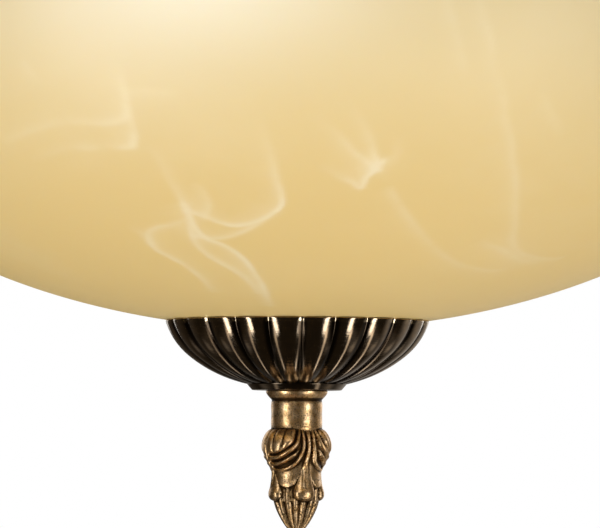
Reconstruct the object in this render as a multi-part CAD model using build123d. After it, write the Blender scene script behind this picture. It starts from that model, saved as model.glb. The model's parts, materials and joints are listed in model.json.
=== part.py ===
from build123d import *
import math
import os

# Bowl chandelier: a glass bowl with three lamps in it, strung on a threaded rod below a short chain.
# Millimetres, +Z up. The origin is on the ceiling plane, straight above the bowl, and the front is -Y.
# Angles about Z are counted from the front, positive towards +X.

# Clearances, each side
thread_clearance = 0.05
slip_clearance = 0.25
seat_gap = 0.3
chain_gap = 0.3

# Threaded rod and nipple, and their nuts
rod_diameter = 10.0
rod_bore = 7.0
nut_across_flats = 14.0
nut_thickness = 4.0
nipple_past_nut = 1.0

# Ceiling bracket: a strap whose ends lie on the ceiling and whose middle hangs below it
bracket_width = 22.0
bracket_thickness = 2.0
bracket_drop = 9.0
bracket_middle = 54.0
bracket_ramp = 5.0
bracket_slot_spacing = 85.0
bracket_slot_width = 5.0
bracket_slot_length = 14.0
bracket_end_margin = 4.5
bracket_length = bracket_slot_spacing + bracket_slot_length + 2 * bracket_end_margin

# Terminal block under the bracket
block_length = 15.0
block_width = 20.0
block_height = 11.0
block_poles = 3
block_pole_pitch = 6.0
terminal_screw_diameter = 3.2
terminal_screw_length = 5.0
wire_entry_diameter = 2.6
block_edge = 1.0

# Flutes of the ceiling canopy and of the cup under the bowl
flute_count = 24
flute_phase = 2.1
flute_share = 0.045
dish_foot_angle = 71.7
dish_rim_angle = 13.2
dish_sections = 6
dish_wall = 1.0

# Ceiling canopy
canopy_overhang = 9.0
canopy_radius = bracket_length / 2 + canopy_overhang
canopy_height = 34.0
canopy_foot_radius = 21.0
canopy_foot_height = 2.5

# Loops with a screw collar, one under the canopy and one on top of the column
loop_collar_radius = 10.5
loop_neck_radius = 7.5
loop_collar_height = 13.0
loop_thread_depth = 9.0
ring_radius = 11.0
ring_wire = 4.5

# Chain
link_count = 3
link_wire = 4.0
link_bend_radius = 10.0
link_straight = 16.0

# Cable bush in the collar of each loop
bush_flange_radius = 4.6
bush_flange_height = 1.2
bush_radius = 3.0
bush_bore = 4.0

# Column on the rod
stem_cap_radius = 17.0
stem_cap_height = 10.0
stem_cap_edge = 2.0
sleeve_radius = 7.0
upper_sleeve_length = 30.0
vase_height = 58.0
vase_radius = 19.5
vase_neck_radius = 8.5
vase_belly_share = 0.35
vase_upper_neck = 7.2
vase_lower_neck = 5.8
vase_bead_radius = 11.0
vase_bead_height = 4.0
lower_sleeve_length = 60.0

# Hub that carries the lamps
hub_cap_radius = 25.0
hub_cap_height = 9.0
hub_radius = 24.0
hub_height = 28.0
hub_wall = 3.0
hub_edge = 2.0
hub_cover_thickness = 2.0

# Arms and lampholders, measured along each lamp's axis from the middle of the hub
lamp_angles = (-25.0, 95.0, 215.0)
lamp_tilt = 15.0
arm_diameter = 10.0
arm_bore = 7.0
arm_start = 16.0
arm_end = 38.0
holder_cap_start = 31.0
holder_cap_length = 15.0
holder_cap_neck = 8.0
holder_radius = 19.0
holder_length = 40.0
holder_floor = 6.0
holder_bore = 28.0
holder_lip_radius = 21.0
holder_lip = 3.0
contact_radius = 4.0
contact_height = 4.0

# Bulbs
bulb_cap_diameter = 26.6
bulb_cap_length = 25.0
bulb_cap_wall = 1.0
bulb_tip_radius = 5.0
bulb_tip_height = 3.0
bulb_globe_diameter = 45.0
bulb_length = 78.0
bulb_wall = 1.0
bulb_neck_diameter = 23.0

# Glass bowl: a half ellipse of revolution with a short upright band above its widest level
bowl_radius = 200.0
bowl_depth = 115.0
bowl_band = 14.0
bowl_wall = 4.0
bowl_edge = 1.8
bowl_pad_radius = 26.0

# Seat of the bowl on the rod
hub_to_seat = 24.0
washer_radius = 21.0
washer_thickness = 1.5
gasket_radius = 24.0
gasket_thickness = 2.0

# Fluted cup under the bowl
cup_radius = 50.0
cup_drop = 22.9
cup_foot_radius = 18.9
cup_foot_height = 2.3
foot_taper = 2.0

# Finial, measured down from its top
finial_collar_radius = 11.6
finial_collar_height = 3.8
finial_neck_radius = 9.6
finial_neck_length = 10.6
finial_thread_depth = 14.0
rod_into_finial = 12.0
ornament_height = 17.0
swag_count = 2
swag_phase = 22.0
swag_reach = 13.3
swag_belly_share = 0.4
valley_radius = 3.5
valley_depth = 3.0
waist_radius = 8.8
leaf_count = 4
leaf_height = 26.0
leaf_reach = 10.7
leaf_stem_width = 3.4
leaf_tip_width = 9.4
leaf_curl = 2.4
bud_top = 39.5
bud_radius = 8.4
bud_length = 15.6
bud_rib_count = 16
bud_rib_share = 0.06
bud_sections = 6
bud_end_share = 0.97
bud_fullness = 0.7
bud_tip_radius = 1.6

# Radii of bores that fit the rod
rod_radius = rod_diameter / 2
tapped_radius = rod_radius + thread_clearance
slip_radius = rod_radius + slip_clearance

# Heights, from the ceiling down
canopy_foot_z = -canopy_height
upper_ring_z = canopy_foot_z - loop_collar_height - ring_radius
upper_hook_z = upper_ring_z - ring_radius
link_height = link_straight + 2 * link_bend_radius
link_pitch = link_height - link_wire - chain_gap
first_link_top = upper_hook_z + ring_wire / 2 + chain_gap + link_wire / 2
last_hook_z = first_link_top - link_height - (link_count - 1) * link_pitch
lower_ring_z = last_hook_z + link_wire / 2 + chain_gap + ring_wire / 2 - ring_radius
stem_collar_top = lower_ring_z - ring_radius
stem_collar_bottom = stem_collar_top - loop_collar_height
stem_cap_bottom = stem_collar_bottom - stem_cap_height
upper_sleeve_bottom = stem_cap_bottom - upper_sleeve_length
vase_bottom = upper_sleeve_bottom - vase_height
lower_sleeve_bottom = vase_bottom - lower_sleeve_length
hub_top = lower_sleeve_bottom - hub_cap_height
hub_middle = hub_top - hub_height / 2
hub_bottom = hub_top - hub_height
seat_nut_top = hub_bottom - hub_to_seat
washer_top = seat_nut_top - nut_thickness
gasket_top = washer_top - washer_thickness
bowl_floor = gasket_top - gasket_thickness
inner_half_width = bowl_radius - bowl_wall
inner_half_depth = bowl_depth - bowl_wall
pad_drop = inner_half_depth * math.sqrt(1 - (bowl_pad_radius / inner_half_width) ** 2)
bowl_bottom = bowl_floor - bowl_depth + pad_drop
cup_bottom = bowl_bottom - cup_drop
rod_top = stem_collar_bottom + loop_thread_depth
rod_bottom = cup_bottom - rod_into_finial

BASE = (Align.CENTER, Align.CENTER, Align.MIN)


def about_z(angle):
    """Turn about Z by an angle that is positive from the front towards +X."""
    return Rot(0, 0, angle)


def turned(*edges):
    """Solid turned about Z from the closed half-section that the edges bound, as (radius, height)."""
    return revolve(Plane.XZ * make_face(edges), Axis.Z)


def turned_through(*points):
    """Solid turned about Z from a half-section with straight sides."""
    return turned(Polyline(*points, close=True))


def tube(outer_radius, bore_radius, bottom, top):
    """Ring or tube about Z between two heights."""
    height = top - bottom
    body = Cylinder(outer_radius, height, align=BASE) - Cylinder(bore_radius, height, align=BASE)
    return Pos(0, 0, bottom) * body


def hex_nut(top):
    """Hexagon nut on the rod, with its upper face at the given height."""
    outline = RegularPolygon(nut_across_flats / 2, 6, major_radius=False)
    body = extrude(outline, nut_thickness) - Cylinder(tapped_radius, nut_thickness, align=BASE)
    return Pos(0, 0, top - nut_thickness) * body


def scalloped_face(radius, height, lobes, share, phase):
    """Flat face bounded by outward arcs, whose valleys lie a share of the radius inside the crests."""
    pitch = 360 / lobes
    valley = radius * (1 - share)
    arcs = []
    for lobe in range(lobes):
        start = math.radians(phase - 90 + lobe * pitch)
        middle = start + math.radians(pitch / 2)
        end = start + math.radians(pitch)
        arcs.append(
            ThreePointArc(
                (valley * math.cos(start), valley * math.sin(start), height),
                (radius * math.cos(middle), radius * math.sin(middle), height),
                (valley * math.cos(end), valley * math.sin(end), height),
            )
        )
    return make_face(arcs)


def dish_section(foot_radius, foot_height, rim_radius, rim_height, angle):
    """Point and outward normal of the dish's elliptic profile, which ends at the foot and at the rim."""
    foot = math.radians(dish_foot_angle)
    rim = math.radians(dish_rim_angle)
    half_width = (rim_radius - foot_radius) / (math.cos(rim) - math.cos(foot))
    half_height = (rim_height - foot_height) / (math.sin(foot) - math.sin(rim))
    radius = rim_radius + half_width * (math.cos(angle) - math.cos(rim))
    height = rim_height - half_height * (math.sin(angle) - math.sin(rim))
    normal = Vector(math.cos(angle) / half_width, 0, -math.sin(angle) / half_height).normalized()
    return radius, height, normal


def fluted_dish(foot_radius, foot_height, rim_radius, rim_height, wall):
    """Thin fluted dish, open upwards, standing on a low tapered foot at height zero."""
    outer = []
    inner = []
    for step in range(dish_sections):
        share = step / (dish_sections - 1)
        angle = math.radians(dish_foot_angle + share * (dish_rim_angle - dish_foot_angle))
        radius, height, normal = dish_section(foot_radius, foot_height, rim_radius, rim_height, angle)
        outer.append(scalloped_face(radius, height, flute_count, flute_share, flute_phase))
        inner_radius = radius - wall * normal.X
        inner_height = height - wall * normal.Z
        inner.append(scalloped_face(inner_radius, inner_height, flute_count, flute_share, flute_phase))
    foot_bottom = foot_radius - foot_taper
    foot_top = foot_height + wall / 2
    foot = turned_through((0, 0), (foot_bottom, 0), (foot_radius, foot_top), (0, foot_top))
    well_top = foot_height + 2 * wall
    well = turned_through(
        (0, wall), (foot_bottom - wall, wall), (foot_radius - 2 * wall, well_top), (0, well_top)
    )
    hole = Cylinder(slip_radius, foot_height + wall, align=BASE)
    return loft(outer) + foot - loft(inner) - well - hole


def screw_loop():
    """Collar with a ring under it: the collar's flat face is at height zero and the ring hangs in XZ."""
    collar = turned(
        Line((0, 0), (loop_collar_radius, 0)),
        Line((loop_collar_radius, 0), (loop_collar_radius, -loop_thread_depth / 3)),
        Spline(
            (loop_collar_radius, -loop_thread_depth / 3),
            (loop_neck_radius, -loop_thread_depth),
            (loop_neck_radius, -loop_collar_height),
            tangents=[(-0.2, -1), (0, -1)],
        ),
        Line((loop_neck_radius, -loop_collar_height), (0, -loop_collar_height)),
        Line((0, -loop_collar_height), (0, 0)),
    )
    ring_middle = -loop_collar_height - ring_radius
    ring = Pos(0, 0, ring_middle) * (Rot(90, 0, 0) * Torus(ring_radius, ring_wire / 2))
    socket = Pos(0, 0, -loop_thread_depth) * Cylinder(tapped_radius, loop_thread_depth, align=BASE)
    passage = Pos(0, 0, -loop_collar_height) * Cylinder(
        bush_radius + slip_clearance, loop_collar_height, align=BASE
    )
    bush_seat = Pos(0, 0, -loop_collar_height - ring_wire) * Cylinder(
        bush_flange_radius + slip_clearance, ring_wire, align=BASE
    )
    return collar + ring - socket - passage - bush_seat


def chain_link(top, turn):
    """Chain link of round wire whose topmost wire centre is at the given height, turned about Z."""
    section = Circle(link_wire / 2)
    leg = Pos(link_bend_radius, 0, -link_straight / 2) * Cylinder(link_wire / 2, link_straight)
    legs = leg + mirror(leg, Plane.YZ)
    bend = revolve(Pos(link_bend_radius, 0, 0) * section, Axis.Y, -180)
    lower_bend = Pos(0, 0, -link_straight) * (Rot(180, 0, 0) * bend)
    return about_z(turn) * (Pos(0, 0, top - link_bend_radius) * (legs + bend + lower_bend))


def ceiling_bracket():
    """Strap with its two ends on the ceiling, a dropped middle, two slots and the nipple's hole."""
    half = bracket_length / 2
    middle = bracket_middle / 2
    bend = middle + bracket_ramp
    thickness = bracket_thickness
    outline = Polyline(
        (-half, 0),
        (-bend, 0),
        (-middle, -bracket_drop),
        (middle, -bracket_drop),
        (bend, 0),
        (half, 0),
        (half, -thickness),
        (bend - thickness / 2, -thickness),
        (middle - thickness / 2, -bracket_drop - thickness),
        (-middle + thickness / 2, -bracket_drop - thickness),
        (-bend + thickness / 2, -thickness),
        (-half, -thickness),
        close=True,
    )
    strap = extrude(Plane.XZ * make_face(outline), bracket_width / 2, both=True)
    slot = extrude(SlotOverall(bracket_slot_length, bracket_slot_width), bracket_drop, both=True)
    for side in (-1, 1):
        strap -= Pos(side * bracket_slot_spacing / 2, 0, 0) * slot
    return strap - Cylinder(slip_radius, 2 * (bracket_drop + thickness + 1))


def terminal_seat():
    """Middle of the terminal block's upper face, under the strap and clear of the lower nut."""
    nut_corner = nut_across_flats / math.sqrt(3)
    return Pos(nut_corner + seat_gap + block_length / 2, 0, -bracket_drop - bracket_thickness)


def pole_places():
    """Place of each pole along the width of the terminal block."""
    return [(pole - (block_poles - 1) / 2) * block_pole_pitch for pole in range(block_poles)]


def terminal_block():
    """Moulded block with a row of screw wells from below and a wire entry through each."""
    top = (Align.CENTER, Align.CENTER, Align.MAX)
    body = Box(block_length, block_width, block_height, align=top)
    body = fillet(body.edges().filter_by(Axis.Z), block_edge)
    well = Pos(0, 0, -block_height) * Cylinder(
        terminal_screw_diameter / 2 + thread_clearance, terminal_screw_length, align=BASE
    )
    entry_height = -block_height + terminal_screw_length
    entry = Pos(0, 0, entry_height) * (Rot(0, 90, 0) * Cylinder(wire_entry_diameter / 2, block_length + 2))
    for place in pole_places():
        body -= Pos(0, place, 0) * (well + entry)
    return terminal_seat() * body


def terminal_screws():
    """The clamping screws of the terminal block, one for each pole."""
    start = Pos(0, 0, -block_height)
    screw = Cylinder(terminal_screw_diameter / 2, terminal_screw_length - seat_gap, align=BASE)
    slot = Box(terminal_screw_diameter + 1, terminal_screw_diameter / 5, terminal_screw_diameter / 4)
    screw -= slot
    return [terminal_seat() * (Pos(0, place, 0) * (start * screw)) for place in pole_places()]


def cable_bush():
    """Flanged bush that lines the cord's way through a screw loop, with its flange inside the ring."""
    flange_top = -loop_collar_height
    flange = tube(bush_flange_radius, bush_bore / 2, flange_top - bush_flange_height, flange_top)
    return flange + tube(bush_radius, bush_bore / 2, flange_top, -loop_thread_depth - slip_clearance)


def stem_cap():
    """Small bell under the stem loop's collar."""
    shoulder = loop_collar_radius
    edge_top = stem_cap_height - stem_cap_edge
    bell = turned(
        Line((slip_radius, 0), (shoulder, 0)),
        Spline(
            (shoulder, 0),
            (shoulder + (stem_cap_radius - shoulder) / 3, -stem_cap_height / 2),
            (stem_cap_radius, -edge_top),
            tangents=[(0, -1), (1, -0.6)],
        ),
        Line((stem_cap_radius, -edge_top), (stem_cap_radius, -stem_cap_height)),
        Line((stem_cap_radius, -stem_cap_height), (slip_radius, -stem_cap_height)),
        Line((slip_radius, -stem_cap_height), (slip_radius, 0)),
    )
    return Pos(0, 0, stem_collar_bottom) * bell


def column_vase():
    """Turned vase with a bead at each end and a full belly between two hollow necks."""
    shoulder = -vase_bead_height - vase_upper_neck
    foot = -vase_height + vase_bead_height + vase_lower_neck
    belly = shoulder + (foot - shoulder) * vase_belly_share
    end_middle = vase_bead_height / 2
    vase = turned(
        Line((slip_radius, 0), (vase_neck_radius, 0)),
        ThreePointArc(
            (vase_neck_radius, 0), (vase_bead_radius, -end_middle), (vase_neck_radius, -vase_bead_height)
        ),
        Line((vase_neck_radius, -vase_bead_height), (vase_neck_radius, shoulder)),
        Spline(
            (vase_neck_radius, shoulder),
            (vase_radius, belly),
            (vase_neck_radius, foot),
            tangents=[(1, -0.3), (-0.15, -1)],
        ),
        Line((vase_neck_radius, foot), (vase_neck_radius, -vase_height + vase_bead_height)),
        ThreePointArc(
            (vase_neck_radius, -vase_height + vase_bead_height),
            (vase_bead_radius, -vase_height + end_middle),
            (vase_neck_radius, -vase_height),
        ),
        Line((vase_neck_radius, -vase_height), (slip_radius, -vase_height)),
        Line((slip_radius, -vase_height), (slip_radius, 0)),
    )
    return Pos(0, 0, upper_sleeve_bottom) * vase


def hub_cap():
    """Ogee cover on top of the hub."""
    cap = turned(
        Line((slip_radius, 0), (sleeve_radius + hub_wall, 0)),
        Spline(
            (sleeve_radius + hub_wall, 0),
            ((sleeve_radius + hub_wall + hub_cap_radius) / 2, -hub_cap_height / 2),
            (hub_cap_radius, -hub_cap_height + hub_wall / 2),
            tangents=[(0.2, -1), (0.4, -1)],
        ),
        Line((hub_cap_radius, -hub_cap_height + hub_wall / 2), (hub_cap_radius, -hub_cap_height)),
        Line((hub_cap_radius, -hub_cap_height), (slip_radius, -hub_cap_height)),
        Line((slip_radius, -hub_cap_height), (slip_radius, 0)),
    )
    return Pos(0, 0, lower_sleeve_bottom) * cap


def lamp_frame(angle):
    """Plane in the middle of the hub whose normal is the axis of the lamp at the given angle."""
    tilt = math.radians(lamp_tilt)
    turn = math.radians(angle)
    reach = math.cos(tilt)
    axis = (math.sin(turn) * reach, -math.cos(turn) * reach, math.sin(tilt))
    side = (math.cos(turn), math.sin(turn), 0)
    return Plane(origin=(0, 0, hub_middle), x_dir=side, z_dir=axis)


def lamp_hub():
    """Drum, open below, with the rod's bore in its roof and a bore through its wall for each arm."""
    body = Cylinder(hub_radius, hub_height, align=BASE)
    body = fillet(body.edges().filter_by(GeomType.CIRCLE), hub_edge)
    room = hub_height - hub_wall
    body -= Cylinder(hub_radius - hub_wall, room, align=BASE)
    body -= Cylinder(slip_radius, hub_height, align=BASE)
    body = Pos(0, 0, hub_bottom) * body
    arm_hole = Cylinder(arm_diameter / 2 + thread_clearance, arm_end, align=BASE)
    for angle in lamp_angles:
        body -= lamp_frame(angle) * arm_hole
    return body


def hub_cover():
    """Round plate that closes the underside of the hub."""
    radius = hub_radius - hub_wall - thread_clearance
    return tube(radius, slip_radius, hub_bottom, hub_bottom + hub_cover_thickness)


def holder_cap():
    """Domed metal cap of a lampholder, screwed on the end of its arm."""
    start = holder_cap_start
    end = holder_cap_start + holder_cap_length
    dome = turned(
        Line((0, start), (holder_cap_neck, start)),
        Line((holder_cap_neck, start), (holder_cap_neck, arm_end - (arm_end - start) / 2)),
        Spline(
            (holder_cap_neck, arm_end - (arm_end - start) / 2),
            (holder_radius, end),
            tangents=[(1, 0.25), (0, 1)],
        ),
        Line((holder_radius, end), (0, end)),
        Line((0, end), (0, start)),
    )
    room_bottom = arm_end + slip_clearance
    room = Pos(0, 0, room_bottom) * Cylinder(holder_cap_neck, end - room_bottom, align=BASE)
    bore = Pos(0, 0, start) * Cylinder(arm_diameter / 2 + thread_clearance, end - start, align=BASE)
    return dome - room - bore


def holder_body():
    """Body of a lampholder: a deep round socket with a lip at its mouth."""
    start = holder_cap_start + holder_cap_length
    end = start + holder_length
    lip_start = end - holder_lip
    body = turned_through(
        (0, start),
        (holder_radius, start),
        (holder_radius, lip_start - (holder_lip_radius - holder_radius)),
        (holder_lip_radius, lip_start),
        (holder_lip_radius, end),
        (holder_bore / 2, end),
        (holder_bore / 2, start + holder_floor),
        (0, start + holder_floor),
    )
    return body


def holder_contact():
    """Centre contact on the floor of the socket."""
    floor = holder_cap_start + holder_cap_length + holder_floor
    stud = Pos(0, 0, floor) * Cylinder(contact_radius, contact_height, align=BASE)
    return fillet(stud.edges().group_by(Axis.Z)[-1], contact_radius / 4)


def bulb_start():
    """Place of the bulb's end contact along the lamp's axis."""
    return holder_cap_start + holder_cap_length + holder_floor + contact_height + seat_gap


def bulb_cap():
    """Metal screw cap of a bulb: a thin cup with a contact button."""
    start = bulb_start()
    shell_start = start + bulb_tip_height
    end = start + bulb_cap_length
    radius = bulb_cap_diameter / 2
    button_radius = bulb_tip_radius
    return turned_through(
        (0, start),
        (button_radius, start),
        (button_radius + bulb_cap_wall, shell_start),
        (radius, shell_start + bulb_tip_height),
        (radius, end),
        (radius - bulb_cap_wall, end),
        (radius - bulb_cap_wall, shell_start + bulb_tip_height + bulb_cap_wall),
        (0, shell_start + bulb_cap_wall),
    )


def bulb_globe():
    """Thin glass globe whose neck stands in the bulb's cap."""
    start = bulb_start()
    radius = bulb_globe_diameter / 2
    neck = bulb_neck_diameter / 2
    middle = start + bulb_length - radius
    neck_end = start + bulb_cap_length
    neck_start = neck_end - bulb_cap_wall
    rest = neck_start - bulb_cap_length / 4
    outline = turned(
        Line((0, rest), (neck, rest)),
        Line((neck, rest), (neck, neck_end)),
        Spline((neck, neck_end), (radius, middle), tangents=[(0.25, 1), (0, 1)]),
        ThreePointArc(
            (radius, middle),
            (radius * math.sin(math.pi / 4), middle + radius * math.cos(math.pi / 4)),
            (0, middle + radius),
        ),
        Line((0, middle + radius), (0, rest)),
    )
    room_radius = radius - bulb_wall
    room_neck = neck - bulb_wall
    room = turned(
        Line((0, rest), (room_neck, rest)),
        Line((room_neck, rest), (room_neck, neck_end)),
        Spline((room_neck, neck_end), (room_radius, middle), tangents=[(0.25, 1), (0, 1)]),
        ThreePointArc(
            (room_radius, middle),
            (room_radius * math.sin(math.pi / 4), middle + room_radius * math.cos(math.pi / 4)),
            (0, middle + room_radius),
        ),
        Line((0, middle + room_radius), (0, rest)),
    )
    return outline - room


def glass_bowl():
    """Glass shell of revolution: outside a half ellipse, inside a smaller one with a flat pad."""
    hole = slip_radius + seat_gap
    centre = bowl_bottom + bowl_depth
    rim = centre + bowl_band
    outer_start = math.degrees(math.acos(hole / bowl_radius))
    inner_start = math.degrees(math.acos(bowl_pad_radius / inner_half_width))
    outer_low = (hole, centre - bowl_depth * math.sin(math.radians(outer_start)))
    outside = EllipticalCenterArc((0, centre), bowl_radius, bowl_depth, -outer_start, arc_size=outer_start)
    inside = EllipticalCenterArc(
        (0, centre), inner_half_width, inner_half_depth, -inner_start, arc_size=inner_start
    )
    outline = make_face(
        [
            outside,
            Line((bowl_radius, centre), (bowl_radius, rim)),
            Line((bowl_radius, rim), (inner_half_width, rim)),
            Line((inner_half_width, rim), (inner_half_width, centre)),
            inside,
            Line((bowl_pad_radius, bowl_floor), (hole, bowl_floor)),
            Line((hole, bowl_floor), outer_low),
        ]
    )
    shell = revolve(Plane.XZ * outline, Axis.Z)
    rim_edges = shell.edges().group_by(Axis.Z)[-1]
    return fillet(rim_edges, min(bowl_edge, 0.45 * bowl_wall))


def cup_rim_height():
    """Height of the cup's rim above its foot, where the inner edge of a flute just clears the glass."""
    valley = cup_radius * (1 - flute_share) - dish_wall
    rise = bowl_depth * (1 - math.sqrt(1 - (valley / bowl_radius) ** 2))
    return cup_drop + rise - seat_gap


def finial_core():
    """Turned body of the finial: ovolo collar, neck and waist."""
    neck_top = -finial_collar_height
    neck_bottom = neck_top - finial_neck_length
    return turned(
        Line((0, 0), (finial_collar_radius, 0)),
        Spline(
            (finial_collar_radius, 0),
            (finial_neck_radius, neck_top),
            tangents=[(0, -1), (-0.6, -1)],
        ),
        Line((finial_neck_radius, neck_top), (finial_neck_radius, neck_bottom)),
        Line((finial_neck_radius, neck_bottom), (waist_radius, neck_bottom)),
        Line((waist_radius, neck_bottom), (waist_radius, -bud_top - bud_tip_radius)),
        Line((waist_radius, -bud_top - bud_tip_radius), (0, -bud_top - bud_tip_radius)),
        Line((0, -bud_top - bud_tip_radius), (0, 0)),
    )


def finial_swags():
    """Swelling of the ornament: a turned belly with a round valley cut into it between its swags."""
    top = -finial_collar_height - finial_neck_length
    bottom = top - ornament_height
    belly = top - swag_belly_share * ornament_height
    body = turned(
        Line((0, top), (finial_neck_radius, top)),
        Spline(
            (finial_neck_radius, top),
            (swag_reach, belly),
            (waist_radius, bottom),
            tangents=[(1, -0.5), (-1, -0.6)],
        ),
        Line((waist_radius, bottom), (0, bottom)),
        Line((0, bottom), (0, top)),
    )
    valley_axis = swag_reach - valley_depth + valley_radius
    valley = Pos(0, -valley_axis, bottom) * Cylinder(valley_radius, ornament_height, align=BASE)
    for swag in range(swag_count):
        body -= about_z(swag_phase + swag * 360 / swag_count) * valley
    return body


def finial_leaf():
    """One leaf facing the front: a stem that runs down the ornament and flares into a bell tip."""
    top = -finial_collar_height - finial_neck_length
    bottom = top - leaf_height
    stem_end = top - ornament_height
    root = waist_radius - leaf_curl
    band = turned(
        Line((root, top), (finial_neck_radius, top)),
        Spline(
            (finial_neck_radius, top),
            (swag_reach - leaf_curl, (top + stem_end) / 2),
            (waist_radius + leaf_curl / 4, stem_end),
            (leaf_reach, bottom + leaf_curl / 2),
            (leaf_reach - leaf_curl / 2, bottom),
        ),
        Line((leaf_reach - leaf_curl / 2, bottom), (root, bottom)),
        Line((root, bottom), (root, top)),
    )
    stem = leaf_stem_width / 2
    tip = leaf_tip_width / 2
    shoulder = bottom + leaf_curl
    right = Spline((stem, top), (stem, stem_end), (tip, shoulder), tangents=[(0, -1), (0.5, -1)])
    left = Spline((-stem, top), (-stem, stem_end), (-tip, shoulder), tangents=[(0, -1), (-0.5, -1)])
    outline = make_face(
        [
            right,
            ThreePointArc((tip, shoulder), (0, bottom), (-tip, shoulder)),
            left,
            Line((-stem, top), (stem, top)),
        ]
    )
    return band & extrude(Plane.XZ * outline, leaf_reach + leaf_curl)


def finial_bud():
    """Ribbed bud that closes the finial: scalloped sections that shrink to a rounded tip."""
    sections = []
    for step in range(bud_sections):
        share = step / (bud_sections - 1) * bud_end_share
        radius = bud_radius * (1 - share**2) ** bud_fullness
        height = -bud_top - share * bud_length
        sections.append(scalloped_face(radius, height, bud_rib_count, bud_rib_share, 0))
    tip = Pos(0, 0, -bud_top - bud_length + bud_tip_radius) * Sphere(bud_tip_radius)
    return loft(sections) + tip


def finial():
    """Cast finial with a blind tapped bore in its top face."""
    body = finial_core() + finial_swags()
    for leaf in range(leaf_count):
        body += about_z(swag_phase + leaf * 360 / leaf_count) * finial_leaf()
    body += finial_bud()
    body -= Pos(0, 0, -finial_thread_depth) * Cylinder(tapped_radius, finial_thread_depth, align=BASE)
    return Pos(0, 0, cup_bottom) * body


def save(name, *solids):
    """Write one node: a single solid, or a group of like solids."""
    shape = solids[0] if len(solids) == 1 else Compound(children=list(solids))
    export_step(shape, f"parts/{name}.step")


os.makedirs("parts", exist_ok=True)

# Ceiling end
save("ceiling_bracket", ceiling_bracket())
nut_seat = -bracket_drop
save("canopy_nuts", hex_nut(nut_seat + nut_thickness), hex_nut(nut_seat - bracket_thickness))
nipple_top = nut_seat + nut_thickness + nipple_past_nut
nipple_bottom = canopy_foot_z - loop_thread_depth + slip_clearance
save("canopy_nipple", tube(rod_radius, rod_bore / 2, nipple_bottom, nipple_top))
save("terminal_block", terminal_block())
save("terminal_screws", *terminal_screws())
canopy = fluted_dish(canopy_foot_radius, canopy_foot_height, canopy_radius, canopy_height, dish_wall)
save("canopy", Pos(0, 0, canopy_foot_z) * canopy)
save("canopy_loop", Pos(0, 0, canopy_foot_z) * screw_loop())
save("canopy_bush", Pos(0, 0, canopy_foot_z) * cable_bush())

# Chain: the links lie across each other, and the first one crosses the canopy's ring
for link in range(link_count):
    save(f"chain_link_{link + 1}", chain_link(first_link_top - link * link_pitch, 90 * ((link + 1) % 2)))

# Column
upright = Pos(0, 0, stem_collar_bottom) * Rot(180, 0, 0)
save("stem_loop", upright * screw_loop())
save("stem_bush", upright * cable_bush())
save("threaded_rod", tube(rod_radius, rod_bore / 2, rod_bottom, rod_top))
save("stem_cap", stem_cap())
save("upper_sleeve", tube(sleeve_radius, slip_radius, upper_sleeve_bottom, stem_cap_bottom))
save("column_vase", column_vase())
save("lower_sleeve", tube(sleeve_radius, slip_radius, lower_sleeve_bottom, vase_bottom))

# Hub and lamps
save("hub_cap", hub_cap())
save("lamp_hub", lamp_hub())
save("hub_cover", hub_cover())
save("hub_nut", hex_nut(hub_bottom))
for number, angle in enumerate(lamp_angles, start=1):
    frame = lamp_frame(angle)
    save(f"arm_tube_{number}", frame * tube(arm_diameter / 2, arm_bore / 2, arm_start, arm_end))
    save(f"holder_cap_{number}", frame * holder_cap())
    save(f"holder_body_{number}", frame * holder_body())
    save(f"holder_contact_{number}", frame * holder_contact())
    save(f"bulb_cap_{number}", frame * bulb_cap())
    save(f"bulb_globe_{number}", frame * bulb_globe())

# Shade
save("glass_stop_nut", hex_nut(seat_nut_top))
save("glass_washer", tube(washer_radius, slip_radius, gasket_top, washer_top))
save("upper_gasket", tube(gasket_radius, slip_radius, bowl_floor, gasket_top))
save("glass_bowl", glass_bowl())
cup = fluted_dish(cup_foot_radius, cup_foot_height, cup_radius, cup_rim_height(), dish_wall)
save("fluted_cup", Pos(0, 0, cup_bottom) * cup)
save("finial", finial())
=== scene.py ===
"""Dresses a bowl chandelier: marbled glass, dark gadrooned metal, a cast finial, lamps and a studio."""

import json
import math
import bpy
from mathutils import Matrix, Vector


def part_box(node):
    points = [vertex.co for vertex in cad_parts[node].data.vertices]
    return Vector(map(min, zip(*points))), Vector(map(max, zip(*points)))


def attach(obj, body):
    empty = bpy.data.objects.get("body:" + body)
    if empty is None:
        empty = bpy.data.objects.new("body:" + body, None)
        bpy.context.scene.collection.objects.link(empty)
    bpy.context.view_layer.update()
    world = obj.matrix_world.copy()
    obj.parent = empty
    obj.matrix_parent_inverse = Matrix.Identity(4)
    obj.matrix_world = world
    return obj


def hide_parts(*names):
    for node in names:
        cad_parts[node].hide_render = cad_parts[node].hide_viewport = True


bl_info = {
    "name": "Bowl Chandelier",
    "version": (1, 0, 0),
    "blender": (4, 5, 0),
    "location": "View3D > Sidebar > Chandelier",
    "description": "Builds the glass, metalwork, lamps and studio of a bowl chandelier on its fixed frame",
    "category": "Add Mesh",
}

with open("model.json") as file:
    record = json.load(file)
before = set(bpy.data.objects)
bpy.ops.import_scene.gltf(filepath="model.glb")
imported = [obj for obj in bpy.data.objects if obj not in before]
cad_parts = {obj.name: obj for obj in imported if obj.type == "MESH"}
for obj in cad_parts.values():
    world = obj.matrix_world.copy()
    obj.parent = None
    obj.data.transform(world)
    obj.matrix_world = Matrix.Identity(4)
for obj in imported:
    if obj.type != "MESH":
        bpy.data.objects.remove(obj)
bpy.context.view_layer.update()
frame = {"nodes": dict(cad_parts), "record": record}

import bpy
import numpy as np
from bpy.props import FloatProperty, FloatVectorProperty, IntProperty, PointerProperty
from mathutils import Matrix, Vector

MM = 0.001
TURN = 2 * math.pi

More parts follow.
